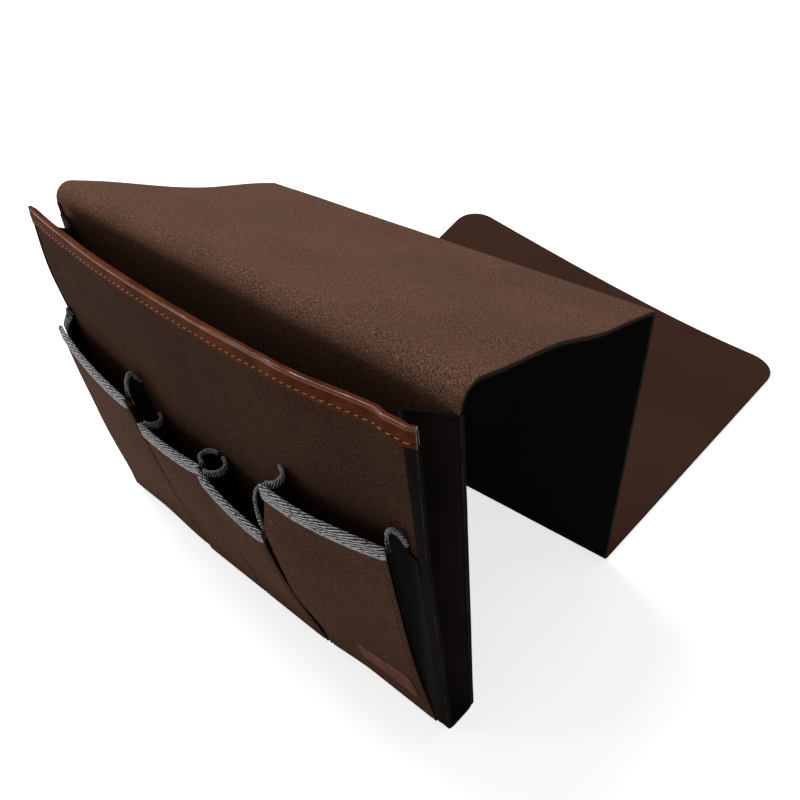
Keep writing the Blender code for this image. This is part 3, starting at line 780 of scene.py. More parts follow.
def flat_size(point, a_values, b_values, level=False):
    """Width, length and area that a surface was cut to.

    Rows of a side's cloth rise towards its fold, so its width is taken level.
    """
    grid = surface_grid(point, a_values, b_values)
    along = np.linalg.norm(np.diff(grid, axis=0), axis=2).sum(axis=0)
    crossing = np.diff(grid, axis=1)[..., :2 if level else 3]
    across = np.linalg.norm(crossing, axis=2).sum(axis=1)
    a, b = grid[1:, :-1] - grid[:-1, :-1], grid[:-1, 1:] - grid[:-1, :-1]
    area = float(np.linalg.norm(np.cross(a, b), axis=2).sum())
    width, height = float(across.max()), float(along.max())
    return (width, height), min(area, width * height)


def declare(point, a_values, b_values, level=False):
    flat, area = flat_size(point, a_values, b_values, level)


def give(piece, slot, *bodies, fold=None, nodes=()):
    """Hides the frame's nodes that a piece stands for and hands the piece to its body; a piece at
    a fold only has its place baked into its mesh.
    """
    if nodes:
        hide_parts(*nodes)
    if fold:
        tuple(fold[0])
        tuple(fold[1])
        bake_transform(piece)
    else:
        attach(piece, *bodies)


def make_sweep(name, path, frames, outline, kinds, cloth_start=0.0, scales=None):
    """Sweeps a closed outline of (across, down) along an edge; the last kind caps it.

    frames gives (across, down) directions at each point; scales narrows the strip
    in its down direction.
    """
    along = travelled(path) + cloth_start
    outline = closed_line(np.array(outline, float))
    around = travelled(outline)
    rings, uvs = [], []
    for k, (place, (across, down)) in enumerate(zip(path, frames)):
        scale = scales[k] if scales else 1.0
        drop = np.where(outline[:, 1] > 0, outline[:, 1] * scale, outline[:, 1])
        rings.append(place + outline[:, :1] * across + drop[:, None] * down)
        uvs.append(np.stack([np.full(len(around), along[k]), around], axis=1))
    rings, uvs = np.array(rings), np.array(uvs)
    patches = [(rings[:, j:j + 2], uvs[:, j:j + 2], 0) for j in range(len(outline) - 1)]
    return close_ends(make_object(name, patches, kinds), len(kinds) - 1)


def close_ends(obj, cap_slot):
    with edited(obj.data) as work:
        made = bmesh.ops.holes_fill(work, edges=[e for e in work.edges if e.is_boundary])
        for face in made["faces"]:
            face.material_index = cap_slot
            face.smooth = False
        bmesh.ops.triangulate(work, faces=made["faces"])
    return obj


def end_bindings(name, surface, heights, widths, length, body):
    """Black cloth folded over the near and the far end of a sheet.

    surface holds the sheet's point, relief and thickness.
    """
    point, relief, thickness = surface
    pieces = []
    for end, place in enumerate(("near", "far")):
        off = np.array([0.0, 2.0 * end - 1.0, 0.0])
        rings, uvs = [], []
        for height in heights:
            lines = []
            for raised in (TAPE_GAP + BINDING_THICKNESS, TAPE_GAP):
                front, back = [], []
                for inset in steps(widths[end], PANEL_EDGE_REACH, 8):
                    share = abs(end - inset / length)
                    normal = surface_normal(point, height, share)
                    here = point(height, share) + normal * relief(height, share)
                    front.append(here + normal * raised)
                    back.append(here - normal * (thickness(height, share) + raised))
                centre, half = (front[-1] + back[-1]) / 2, (front[-1] - back[-1]) / 2
                reach = off * (PANEL_EDGE_REACH + raised)
                turn = [centre + half * math.cos(a) + reach * math.sin(a)
                        for a in steps(0.0, math.pi, 8)[1:-1]]
                lines.append(front + turn + back[::-1])
            ring = np.array(lines[0] + lines[1][::-1] + lines[0][:1])
            around = travelled(ring)
            around -= around[len(lines[0]) // 2]
            rings.append(ring)
            uvs.append(np.stack([np.full(len(ring), ring[0][2]), around], axis=1))
        patch = (np.array(rings), np.array(uvs), 0)
        pieces.append(close_ends(make_object(f"{name}_{place}", [patch], ["binding"]), 0))
        give(pieces[-1], "gusset_cloth", body)
    return pieces


def operator(operation, swapped=False):
    """A Python operator on levels, as one Math node."""
    def apply(self, other=-1.0):
        return self.finish.math(operation, *((other, self) if swapped else (self, other)))
    return apply


class Level:
    """A number that varies over a surface. Arithmetic on it adds Math nodes."""

    def __init__(self, finish, socket):
        self.finish = finish
        self.socket = socket

    __add__ = __radd__ = operator("ADD")
    __mul__ = __rmul__ = __neg__ = operator("MULTIPLY")
    __sub__, __rsub__ = operator("SUBTRACT"), operator("SUBTRACT", True)
    __truediv__, __rtruediv__ = operator("DIVIDE"), operator("DIVIDE", True)
    __pow__ = operator("POWER")


class Finish:
    """One material and its nodes, which lie on the cloth in metres."""

    def __init__(self, name, owner=None):
        self.material = owner or bpy.data.materials.new(name)
        self.material.use_nodes = True
        self.tree = self.material.node_tree

    def node(self, kind, settings=None, sockets=None, output=0):
        made = self.tree.nodes.new(kind)
        for key, value in (settings or {}).items():
            setattr(made, key, value)
        for key, value in (sockets or {}).items():
            self.feed(made.inputs[key], value)
        return Level(self, made.outputs[output])

    def feed(self, socket, value):
        if isinstance(value, Level):
            self.tree.links.new(value.socket, socket)
        elif value is not None:
            socket.default_value = value

    def math(self, operation, *values):
        return self.node("ShaderNodeMath", {"operation": operation},
                         dict(enumerate(values)))

    def vector(self, operation, *values):
        return self.node("ShaderNodeVectorMath", {"operation": operation},
                         dict(enumerate(values)))

    @functools.cached_property
    def place(self):
        """Place on the cloth, in metres along it and across it."""
        return self.node("ShaderNodeUVMap", {"uv_map": CLOTH_MAP})

    def other(self, level, name):
        """Another output of the node that gave a level."""
        return Level(self, level.socket.node.outputs[name])

    def parts(self):
        along = self.node("ShaderNodeSeparateXYZ", {}, {0: self.place})
        return along, self.other(along, "Y")

    def band(self, value, low, high, soft):
        """1 between low and high, fading over soft on both sides."""
        return self.ranged(value, low - soft, low) * (1 - self.ranged(value, high, high + soft))

    def wave(self, value, pitch):
        """A sine between 0 and 1."""
        return self.math("SINE", value * (2 * math.pi / pitch)) * 0.5 + 0.5

    def stretched(self, along, across, place=None):
        return self.vector("MULTIPLY", place or self.place, (along, across, 1.0))

    def noise(self, scale, detail=2.0, roughness=0.5, place=None, output="Fac"):
        return self.node(
            "ShaderNodeTexNoise", {"noise_dimensions": "2D"},
            {"Vector": place or self.place, "Scale": scale, "Detail": detail,
             "Roughness": roughness, "Distortion": 0.0}, output)

    def ranged(self, value, low, high, to_low=0.0, to_high=1.0):
        return self.node(
            "ShaderNodeMapRange", {"interpolation_type": "SMOOTHSTEP"},
            {"Value": value, "From Min": low, "From Max": high,
             "To Min": to_low, "To Max": to_high})

    def blend(self, share, first, second):
        first, second = (c if isinstance(c, Level) else (*c, 1.0) for c in (first, second))
        return self.node("ShaderNodeMix", {"data_type": "RGBA"},
                         {0: share, 6: first, 7: second}, 2)

    def tones(self, share, tone, low, high):
        return self.blend(share, lighter(tone, low), lighter(tone, high))

    def layers(self, base, tone, *layers):
        """Lays (share, factor) layers of a lighter or darker tone over a base."""
        for share, factor in layers:
            base = self.blend(share, base, lighter(tone, factor))
        return base

    def bump(self, height, distance, strength, under=None):
        return self.node("ShaderNodeBump", {}, {
            "Strength": strength, "Distance": distance, "Height": height, "Normal": under})

    def done(self, **sockets):
        shader = self.tree.nodes["Principled BSDF"]
        for key, value in sockets.items():
            self.feed(shader.inputs[key.replace("_", " ")], value)
        return self.material


def lighter(tone, factor):
    return tuple(min(c * factor, 1.0) for c in tone)


def suede_finish(f, tone, grain=1.0, nap=1.0, blotch=1.0, sheen=0.06, shine=0.10):
    """Suede: a short brushed nap with fine flecks, and worn and darker areas."""
    swirl = f.vector("SUBTRACT", f.noise(90.0, output="Color"), (0.5, 0.5, 0.5))
    bent = f.vector("ADD", f.place, f.vector("MULTIPLY", swirl, (0.0012, 0.0012, 0.0012)))
    slanted = f.stretched(1.0, 0.7, bent)
    areas = f.noise(14.0, 3.0, 0.55)
    clouds = f.noise(85.0, 3.0, 0.6)
    worn = f.ranged(f.noise(42.0), 0.35, 0.65, 0.45, 1.0)
    hairs = f.noise(1250.0, 3.0, 0.70, f.stretched(1.0, 0.75, bent))
    fine = f.noise(2600.0, 2.0, 0.6, bent)
    dark = f.noise(1050.0, 2.0, 0.55, f.stretched(0.75, 1.0, bent))
    mottle = f.noise(520.0, 3.0, 0.62, slanted)
    flecks = f.ranged(f.noise(1350.0, place=slanted), 0.60, 0.72)
    specks = f.ranged(f.noise(900.0, 1.0), 0.72, 0.78)
    base = f.layers(
        f.tones(f.ranged(areas, 0.36, 0.64), tone, 1 - 0.13 * blotch, 1 + 0.13 * blotch), tone,
        (f.ranged(clouds, 0.38, 0.62) * (0.24 * blotch), 0.68),
        (f.ranged(mottle, 0.50, 0.66) * (0.40 * grain), 1.6),
        ((1 - f.ranged(mottle, 0.34, 0.48)) * (0.60 * grain), 0.50),
        (f.ranged(hairs, 0.44, 0.60) * (0.52 * grain), 1.75),
        ((1 - f.ranged(dark, 0.36, 0.48)) * worn * (0.85 * grain), 0.32),
        (flecks * worn * (0.85 * grain), 3.0),
        (specks * (0.75 * grain), 4.5))
    normal = f.bump(hairs * 0.65 + fine * 0.35, 0.00030 * nap, 0.7,
                    f.bump(clouds, 0.0007 * nap, 0.5))
    return f.done(Base_Color=base, Roughness=f.ranged(hairs, 0.3, 0.7, 0.98, 0.88),
                  Normal=normal, Sheen_Weight=sheen, Sheen_Roughness=0.55,
                  Sheen_Tint=(*lighter(tone, 4.0), 1.0), Specular_IOR_Level=shine)


def woven_finish(f, tone, pitch, roughness=0.9, contrast=0.5):
    """Plain weave: warp and weft threads that pass over and under each other."""
    wobble = f.noise(130.0) * 0.0008
    warp, weft = (f.math("SINE", (way + wobble) * (2 * math.pi / pitch)) for way in f.parts())
    weave = (warp * weft) * 0.5 + 0.5
    fuzz = f.noise(1600.0)
    base = f.layers(f.tones(f.ranged(f.noise(18.0, 3.0), 0.3, 0.7), tone, 0.75, 1.35), tone,
                    (weave * contrast, 2.2), (f.ranged(fuzz, 0.6, 0.8) * 0.35, 3.0))
    return f.done(Base_Color=base, Roughness=f.ranged(fuzz, 0.2, 0.8, roughness, roughness - 0.1),
                  Normal=f.bump(weave + fuzz * 0.5, pitch * 0.22, 0.7), Sheen_Weight=0.01,
                  Sheen_Roughness=0.5, Specular_IOR_Level=0.12)


def binding_finish(f, tone):
    """Black cloth with a painted highlight along the ridge of its fold, broken up in patches."""
    across = f.parts()[1]
    fuzz = f.noise(1500.0, 3.0, 0.65)
    # Painted highlight: the colour is lightened in patches along the fold's ridge
    ridge_highlight = f.band(across, -0.00150, -0.00095, 0.00035) * f.ranged(
        f.noise(180.0, 3.0, place=f.stretched(0.3, 1.0)), 0.35, 0.62, 0.25, 1.0)
    base = f.layers(f.tones(f.ranged(fuzz, 0.35, 0.65), tone, 0.7, 1.5), tone, (ridge_highlight, 4.5))
    return f.done(Base_Color=base, Roughness=0.9, Normal=f.bump(fuzz, 0.00015, 0.7),
                  Specular_IOR_Level=0.08)


def tape_finish(f, light, dark):
    """Twill binding: shallow slanted ribs, and straight threads along its lower edge."""
    u, v = f.parts()
    wobble = f.noise(260.0)
    ribs = f.wave(v - u * 0.36 + wobble * 0.0004, 0.00175)
    rows = f.wave(v + wobble * 0.0002, 0.00115)
    rib = ribs + (rows + 0.22 - ribs) * (1 - f.ranged(v, 0.0029, 0.0034))
    strands = f.noise(2300.0, 3.0, 0.65, f.stretched(1.0, 0.6))
    dashes = f.noise(900.0, place=f.stretched(1.6, 0.5))
    aside = f.vector("ADD", f.place, (0.31, 0.17, 0.0))
    gaps = f.noise(1000.0, place=f.stretched(0.35, 1.5, aside))
    share = f.ranged(rib * 0.80 + dashes * 0.40 + strands * 0.25, 0.55, 1.10)
    base = f.blend(f.ranged(gaps, 0.55, 0.63) * 0.9, f.blend(share, dark, light), dark)
    base = f.blend(f.ranged(strands, 0.60, 0.78) * 0.45, base, lighter(light, 1.4))
    return f.done(Base_Color=base, Roughness=0.78, Sheen_Weight=0.04, Specular_IOR_Level=0.2,
                  Normal=f.bump(rib * 0.8 + strands * 0.35, 0.00030, 0.9))


def loop_tape_finish(f, light, dark):
    """Narrow binding whose threads cross it in short slanted dashes."""
    u, v = f.parts()
    ribs = f.wave(u + v + f.noise(300.0) * 0.0006, 0.0016)
    strands = f.noise(1700.0, 3.0, 0.7)
    base = f.blend(f.ranged(ribs * 0.7 + strands * 0.7, 0.60, 1.05), dark, light)
    base = f.blend(f.ranged(f.noise(700.0), 0.50, 0.62) * 0.6, base, dark)
    return f.done(Base_Color=base, Roughness=0.8, Normal=f.bump(ribs + strands, 0.00025, 0.9),
                  Specular_IOR_Level=0.15)


def leather_grain(f, tone, wear, grain_scale):
    """Colour, relief and streaks of leather with a fine cell grain."""
    cells = f.node("ShaderNodeTexVoronoi",
                   {"voronoi_dimensions": "2D", "feature": "DISTANCE_TO_EDGE"},
                   {"Vector": f.place, "Scale": grain_scale})
    areas = f.noise(60.0, 3.0, 0.6)
    streaks = f.noise(420.0, 3.0, 0.6, f.stretched(0.25, 1.0))
    base = f.layers(f.tones(f.ranged(areas, 0.3, 0.7), tone, 0.72, 1.3), tone,
                    ((1 - f.ranged(cells, 0.0, 0.16)) * 0.4, 0.4),
                    (f.ranged(streaks, 0.56, 0.72) * wear, 2.3))
    height = f.ranged(cells, 0.0, 0.25) * 0.7 + streaks * 0.6
    return base, f.bump(height, 0.00013, 0.6, f.bump(areas, 0.0008, 0.4)), streaks


def patch_finish(f, tone):
    """Matt leather, worn in places."""
    base, normal, streaks = leather_grain(f, tone, 0.5, 480.0)
    base = f.blend(f.ranged(f.noise(1500.0, 3.0, 0.7), 0.40, 0.60),
                   f.layers(base, tone, (0.55, 0.25)), f.layers(base, tone, (0.35, 1.9)))
    return f.done(Base_Color=base, Roughness=f.ranged(streaks, 0.3, 0.7, 0.72, 0.84),
                  Normal=normal, Specular_IOR_Level=0.10)


def trim_finish(f, tone):
    """Waxed leather with a clear coat and a painted highlight on its ridge, painted shade in the
    sewn groove, and a pale edge.
    """
    across = f.parts()[1]
    base, normal, streaks = leather_grain(f, tone, 0.30, 700.0)
    around = across + (streaks - 0.5) * 0.0006
    # The ridge band carries the real clear coat and a painted highlight in the colour
    ridge = f.band(around, *TRIM_RIDGE_COAT_AND_HIGHLIGHT)
    # Painted shade darkens the colour in the sewn groove; painted highlight lightens it on the
    # ridge; the pale lower edge is the leather's edge
    base = f.layers(base, tone, (f.band(across, *TRIM_GROOVE) * 0.75, 0.18),
                    ((1 - f.ranged(around, 0.0004, 0.0012)) * 0.65, 2.4), (ridge * 0.50, 2.0))
    return f.done(Base_Color=base, Roughness=f.ranged(streaks, 0.3, 0.7, 0.50, 0.66),
                  Normal=normal, Specular_IOR_Level=0.02, Coat_Roughness=0.08,
                  Coat_Weight=ridge * f.ranged(streaks, 0.25, 0.6, 1.0, 0.4))


def cut_finish(f, tone):
    """Raw fibres at a cut end."""
    fibres = f.node("ShaderNodeTexNoise", {}, {
        "Vector": f.node("ShaderNodeTexCoord", output="Object"), "Scale": 1400.0,
        "Detail": 3.0, "Roughness": 0.7}, "Fac")
    return f.done(Base_Color=f.tones(f.ranged(fibres, 0.35, 0.65), tone, 0.45, 1.15),
                  Roughness=0.95, Normal=f.bump(fibres, 0.0004, 0.8))


def thread_finish(f, tone):
    """Twisted sewing thread."""
    u, v = f.parts()
    twist = f.wave(u + v * 1.6, 0.0006)
    return f.done(Base_Color=f.tones(twist, tone, 0.7, 1.25), Roughness=0.6,
                  Normal=f.bump(twist, 0.00008, 0.8))


# How each kind of surface is made: finish, material's name, its colours and settings
FINISHES = {
    "suede": (suede_finish, "brushed_suede", ("suede",), {"nap": 0.5}),
    "pocket": (suede_finish, "pocket_suede_nap", ("pocket",),
               {"grain": 0.8, "nap": 0.8, "sheen": 0.02, "shine": 0.05}),
    # Same suede as the pockets with a darker colour, which is partly painted shade
    "panel": (suede_finish, "panel_suede_nap", ("panel",),
              {"grain": 0.8, "nap": 0.8, "sheen": 0.02, "shine": 0.05}),
    # Smooth suede whose dark colour is partly painted shade
    "flap": (suede_finish, "smooth_flap_suede", ("flap",),
             {"grain": 0.12, "nap": 0.3, "blotch": 0.6, "sheen": 0.10, "shine": 0.08}),
    "lining": (woven_finish, "black_lining", ("lining",), {"pitch": 0.0007}),
    "gusset": (woven_finish, "gusset_weave", ("gusset",),
               {"pitch": 0.0006, "roughness": 0.85, "contrast": 0.35}),
    "side": (woven_finish, "side_weave", ("side",), {"pitch": 0.0006, "contrast": 0.25}),
    "core": (woven_finish, "core_felt", ("core",),
             {"pitch": 0.0009, "roughness": 0.95, "contrast": 0.2}),
    "binding": (binding_finish, "binding_cloth", ("binding",), {}),
    "tape": (tape_finish, "ribbed_tape", ("tape_light", "tape_dark"), {}),
    "loop_tape": (loop_tape_finish, "crossed_tape", ("tape_light", "tape_dark"), {}),
    "trim": (trim_finish, "cognac_trim", ("trim",), {}),
    "patch": (patch_finish, "patch_hide", ("patch",), {}),
    "cut": (cut_finish, "leather_fibres", ("trim_cut",), {}),
    "thread": (thread_finish, "tan_thread", ("thread",), {}),
}


@functools.lru_cache(maxsize=None)
def finish(kind):
    make, name, tones, settings = FINISHES[kind]
    colours = bpy.context.scene.organizer_colours
    return make(Finish(name), *(tuple(getattr(colours, t)) for t in tones), **settings)


@functools.lru_cache(maxsize=None)
def cover_shape():
    return Cover(bpy.context.scene.organizer_cover)


@functools.lru_cache(maxsize=None)
def panel_shape():
    return MagazinePocket(cover_shape(), bpy.context.scene.organizer_pockets)


def profile(**zones):
    """A sheet's edge from its face to its back: (out past the sheet, deep, zone)."""
    return [(out, deep, zone) for zone, points in zones.items() for out, deep in points]


COVER_EDGE = profile(
    suede=[(0.0, 0.0), (0.00050, 0.00006), (0.00085, 0.00022)],
    edge=[(0.00105, 0.00050), (COVER_EDGE_REACH, 0.00080), (0.00100, 0.00110)],
    core=[(0.00078, 0.00128), (0.00060, 0.00140), (0.00060, 0.00225)],
    back=[(0.00070, 0.00240), (0.00085, 0.00252), (0.00090, 0.00278),
          (0.00078, 0.00302), (0.00042, 0.00316), (0.0, COVER_THICKNESS)])
PANEL_EDGE = profile(
    suede=[(0.0, 0.0), (0.00050, 0.00006)],
    edge=[(0.00085, 0.00024), (0.00108, 0.00060), (PANEL_EDGE_REACH, 0.00120),
          (PANEL_EDGE_REACH, 0.00200), (0.00108, 0.00260)],
    back=[(0.00085, 0.00296), (0.00050, 0.00314), (0.0, COVER_THICKNESS)])
STRIP_EDGE = profile(
    suede=[(0.0, 0.0), (0.00040, 0.00010), (0.00060, 0.00050)],
    edge=[(0.00060, 0.00110), (0.00040, 0.00150), (0.0, BASE_THICKNESS)])
FRONT_EDGE = profile(
    suede=[(0.0, 0.0), (0.00030, 0.00010), (0.00045, 0.00040)],
    edge=[(0.00045, 0.00090), (0.00030, 0.00130), (0.0, POCKET_FABRIC)])
SIDE_EDGE = profile(
    edge=[(0.0, 0.0), (0.00030, 0.00020), (0.00030, 0.00060), (0.0, GUSSET_THICKNESS)])
FLANGE_EDGE = profile(
    edge=[(0.0, 0.0), (0.00020, 0.00010), (0.00020, 0.00040), (0.0, FLANGE_THICKNESS)])
PATCH_EDGE = profile(
    edge=[(0.0, 0.0), (0.00040, 0.00010), (0.00060, 0.00040), (0.00060, 0.00100),
          (0.0, PATCH_THICKNESS)])

FRONT_ZONES = {"face": "pocket", "suede": "pocket", "edge": "gusset", "back": "gusset"}


def one_finish(kind):
    return dict.fromkeys(("face", "back", "edge"), kind)


def cover_relief(station, share):
    cover = cover_shape()
    u, v = cover.cloth(station, share)
    rise = cover.sizes.ripple * uneven(u, v, COVER_RIPPLES)
    # the flap lies on the floor, so it only ripples upward
    return max(rise, FLAP_DIP) if station > FLAP_STATION else rise


def cover_piece(name, stations, shares, kind, joined, fold, nodes):
    """A stretch of the cover round one of its folds."""
    cover = cover_shape()
    zones = {"face": kind, "suede": kind, "edge": "gusset", "back": "lining", "core": "core"}
    piece = make_sheet(name, (cover.point, cover.cloth), stations, shares, COVER_THICKNESS,
                       COVER_EDGE, zones, joined=joined, relief=cover_relief)
    declare(cover.point, stations, shares)
    layers = [f"{node}_{layer}" for node in nodes for layer in ("suede", "board", "lining")]
    give(piece, "flap_suede" if kind == "flap" else "suede",
         *COVER_BODIES[fold:fold + 2], fold=cover.fold(fold),
         nodes=[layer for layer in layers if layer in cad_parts])


def flap_stations():
    """Stations along the flap, closer together round its corners."""
    cover = cover_shape()
    round_start = 7 - cover.margin(6, cover.sizes.flap_corner)
    end = 7 - cover.margin(6, COVER_EDGE_REACH)
    turns = [mix(round_start, end, math.sin(a)) for a in steps(0.0, math.pi / 2, 14)]
    return [*steps(6.01, round_start, 34), *turns[1:]]


def flap_row(station):
    """Shares across the flap, which its round corners cut short."""
    cover = cover_shape()
    radius = cover.sizes.flap_corner - COVER_EDGE_REACH
    left = max((7 - station) * cover.lengths[6] - COVER_EDGE_REACH, 0.0)
    past = min(max(radius - left, 0.0), radius)
    cut = radius - math.sqrt(max(radius**2 - past**2, 0.0))
    return cover.shares(COVER_EDGE_REACH + cut)


class ORGANIZER_OT_cover(bpy.types.Operator):
    """Build the folded cover: wall, top, rear wall and flap"""

    bl_idname = "organizer.cover"
    bl_label = "Cover"

    def execute(self, context):
        cover = cover_shape()
        shares = cover.shares(COVER_EDGE_REACH)
        foot = cover.margin(0, COVER_EDGE_REACH)
        top_end = 3 - cover.margin(2, FOLD_MARGIN)
        rear_end = 5 - cover.margin(4, FOLD_MARGIN)
        low, high = cover.section(0.0).straight(0)
        bindings = end_bindings(
            "wall_binding", (cover.point, cover_relief, lambda *place: COVER_THICKNESS),
            steps(0.004, (BINDING_TOP - low[1]) / (high[1] - low[1]), 30),
            WALL_BINDING_WIDTHS, cover.length, "pocket_wall")
        cover_piece(
            "front_cover",
            [*steps(foot, 0.98, 34), *steps(1.0, 1.999, 16), *steps(2.02, top_end, 34)],
            shares, "suede", ("last",),
            0, ["wall", "front_fold", "top"])
        cover_piece(
            "rear_cover", [top_end, *steps(3.0, 3.999, 10), *steps(4.02, rear_end, 26)],
            shares, "suede", ("first", "last"),
            1, ["rear_fold", "rear"])
        cover_piece(
            "flap_cover", [rear_end, *steps(5.0, 5.999, 8), *flap_stations()], flap_row,
            "flap", ("first",), 2, ["flap_fold", "flap"])
        return {"FINISHED"}


def under_trim(up):
    """How far a place on the panel is pressed under the trim, from 0 to 1."""
    return ease((up - TRIM_START) / (1 - TRIM_START))


def panel_relief(up, share):
    """Dents of the outer panel, and the crease under the kink of its mouth."""
    panel = panel_shape()
    z, y = up * panel.height(share), panel.cover.y(share)
    line = CREASE_PLACE - CREASE_LEAN * (CREASE_TOP - z)
    crease = math.exp(-(((y - line) / CREASE_WIDTH) ** 2)) * ease(
        (z - CREASE_START) / CREASE_GROWTH)
    dents = uneven(z, y, PANEL_DENTS) * ease(up / 0.1) * ease((1 - up) / 0.1)
    dents += CREASE_RISE * crease
    return dents - TRIM_PRESS * under_trim(up) * panel.pinch(share)


def panel_thinning(up, share):
    """Share of the panel's thickness that is left under the trim and at its ends."""
    return (1 - 2 * TRIM_PRESS / COVER_THICKNESS * under_trim(up)) * panel_shape().pinch(share)


class ORGANIZER_OT_magazine_pocket(bpy.types.Operator):
    """Build the outer panel, the strip under it and its two folded sides"""

    bl_idname = "organizer.magazine_pocket"
    bl_label = "Magazine pocket"

    def execute(self, context):
        self.outer_panel()
        self.bottom_strip()
        for place, end_share, inward in (("near", 0.0, 1), ("far", 1.0, -1)):
            self.side(place, end_share, inward)
        return {"FINISHED"}

    def outer_panel(self):
        panel = panel_shape()
        inset, near_end = PANEL_EDGE_REACH / panel.cover.length, 0.030
        up = steps(0.0052, 0.9935, 60)
        shares = [*steps(inset, near_end, 14), *steps(near_end, 1 - near_end, 84)[1:-1],
                  *steps(1 - near_end, 1 - inset, 14)]
        zones = {"face": "panel", "suede": "panel", "edge": "gusset", "back": "lining"}
        piece = make_sheet("outer_panel_sheet", (panel.point, panel.cloth), up, shares,
                           COVER_THICKNESS, PANEL_EDGE, zones,
                           relief=panel_relief, back=panel_thinning)
        top = (BINDING_TOP - FOOT_HEIGHT) / (panel.height(0.0) - FOOT_HEIGHT)
        bindings = end_bindings(
            "panel_binding",
            (panel.point, panel_relief, lambda *at: COVER_THICKNESS * panel_thinning(*at)),
            steps(0.006, top, 50), PANEL_BINDING_WIDTHS, panel.cover.length, "outer_panel")
        declare(panel.point, up, shares)
        give(piece, "pocket_suede", "outer_panel",
             nodes=["panel_suede", "panel_board", "panel_lining"])

    def bottom_strip(self):
        panel, cover = panel_shape(), cover_shape()

        def point(across, share):
            wall = cover.section(share).corners[0][0] + COVER_THICKNESS
            outer = panel.x(share, FOOT_HEIGHT) + CLEARANCE
            curled = max(abs(2 * across - 1) - 0.5, 0.0) / 0.5
            rise = (FOOT_HEIGHT - CLEARANCE) * (1 - math.sqrt(max(1 - curled**2, 0.0)))
            return np.array([mix(outer, wall, across), cover.y(share), rise])

        across = [0.5 - 0.5 * math.cos(math.pi * a) for a in steps(0.02, 0.98, 24)]
        shares = steps(0.004, 0.996, 56)
        piece = make_sheet("bottom_strip", (point, cloth_of(STRIP_WIDTH, cover.length)),
                           across, shares, BASE_THICKNESS, STRIP_EDGE, FRONT_ZONES, facing=-1)
        declare(point, across, shares)
        middle = cover.y(0.5)
        give(piece, "pocket_suede", "pocket_wall", "outer_panel", nodes=["pocket_base"],
             fold=tuple((ORIGIN_X + x, middle, 0.0) for x in STRIP_FOLD_ZONE))

    def side(self, place, end_share, inward):
        panel, cover = panel_shape(), cover_shape()
        end_y = cover.y(end_share) + inward * MAIN_GUSSET_EDGE
        top = panel.height(end_share) - MAIN_GUSSET_DROP
        margin = CLEARANCE + BINDING_THICKNESS + GUSSET_THICKNESS / 2

        def point(up, across):
            z = mix(MAIN_GUSSET_RISE, top, up)
            fold = MAIN_GUSSET_FOLD * mix(MAIN_GUSSET_FOOT_SHARE, 1.0, up)
            side = min(abs(2 * across - 1), 1.0)
            y = end_y + inward * fold * (1 - side**MAIN_GUSSET_FOLD_POWER)
            share = cover.share(y)
            tuck = np.interp(z, TUCK_HEIGHTS, SIDE_TUCKS[place])
            outer = panel.x(share, z) + panel.thickness(share) + margin - tuck
            wall = cover.wall_x(share, z) - margin + WALL_TUCKS[place]
            return np.array([mix(outer, wall, across), y, z])

        up, across = steps(0.0, 1.0, 40), steps(0.0, 1.0, 30)
        cloth = cloth_of(*MAIN_GUSSET_CLOTH)
        sheet = make_sheet(f"magazine_side_{place}", (point, cloth), up, across,
                           GUSSET_THICKNESS, SIDE_EDGE, one_finish("side"), facing=inward,
                           relief=lambda *at: uneven(*cloth(*at), SIDE_DENTS))
        hem = self.hem(f"magazine_side_hem_{place}", point)
        declare(point, up, across)
        wall_side, panel_side, lean = SIDE_FOLD_ZONES[place]
        fold = ((ORIGIN_X + wall_side, cover.y(end_share), 0.0),
                (ORIGIN_X + panel_side, cover.y(end_share), lean * (panel_side - wall_side)))
        give(sheet, "gusset_cloth", "pocket_wall", "outer_panel", fold=fold,
             nodes=[f"main_gusset_{place}"])
        give(hem, "gusset_cloth", "pocket_wall", "outer_panel", fold=fold)

    def hem(self, name, point):
        """The rolled top edge of a side."""
        path, frames = [], []
        for across in steps(0.0, 1.0, 40):
            path.append(point(1.0, across))
            down = unit(point(0.97, across) - path[-1])
            frames.append((surface_normal(point, 1.0, across), down))
        half = [(0.0007, 0.0028), (0.00085, 0.0020), (0.0009, 0.0006), (0.0006, -0.0004)]
        outline = [*half, (0.0, -0.0007), *((-out, down) for out, down in half[::-1])]
        return make_sweep(name, path, frames, outline, ["gusset"])


def cloth_of(height, width):
    """Place on a cloth of a height and a width, for a share up it and across it."""
    return lambda up, across: (up * height, across * width)


def trim_path(count):
    panel = panel_shape()
    path, frames = [], []
    for share in steps(0.0, 1.0, count):
        top = panel.point(1.0, share)
        normal = surface_normal(panel.point, 1.0, share)
        path.append(top - normal * panel.thickness(share) / 2)
        frames.append((normal * (1 + panel.pinch(share)) / 2,
                       unit(panel.point(0.96, share) - top)))
    return np.array(path), frames


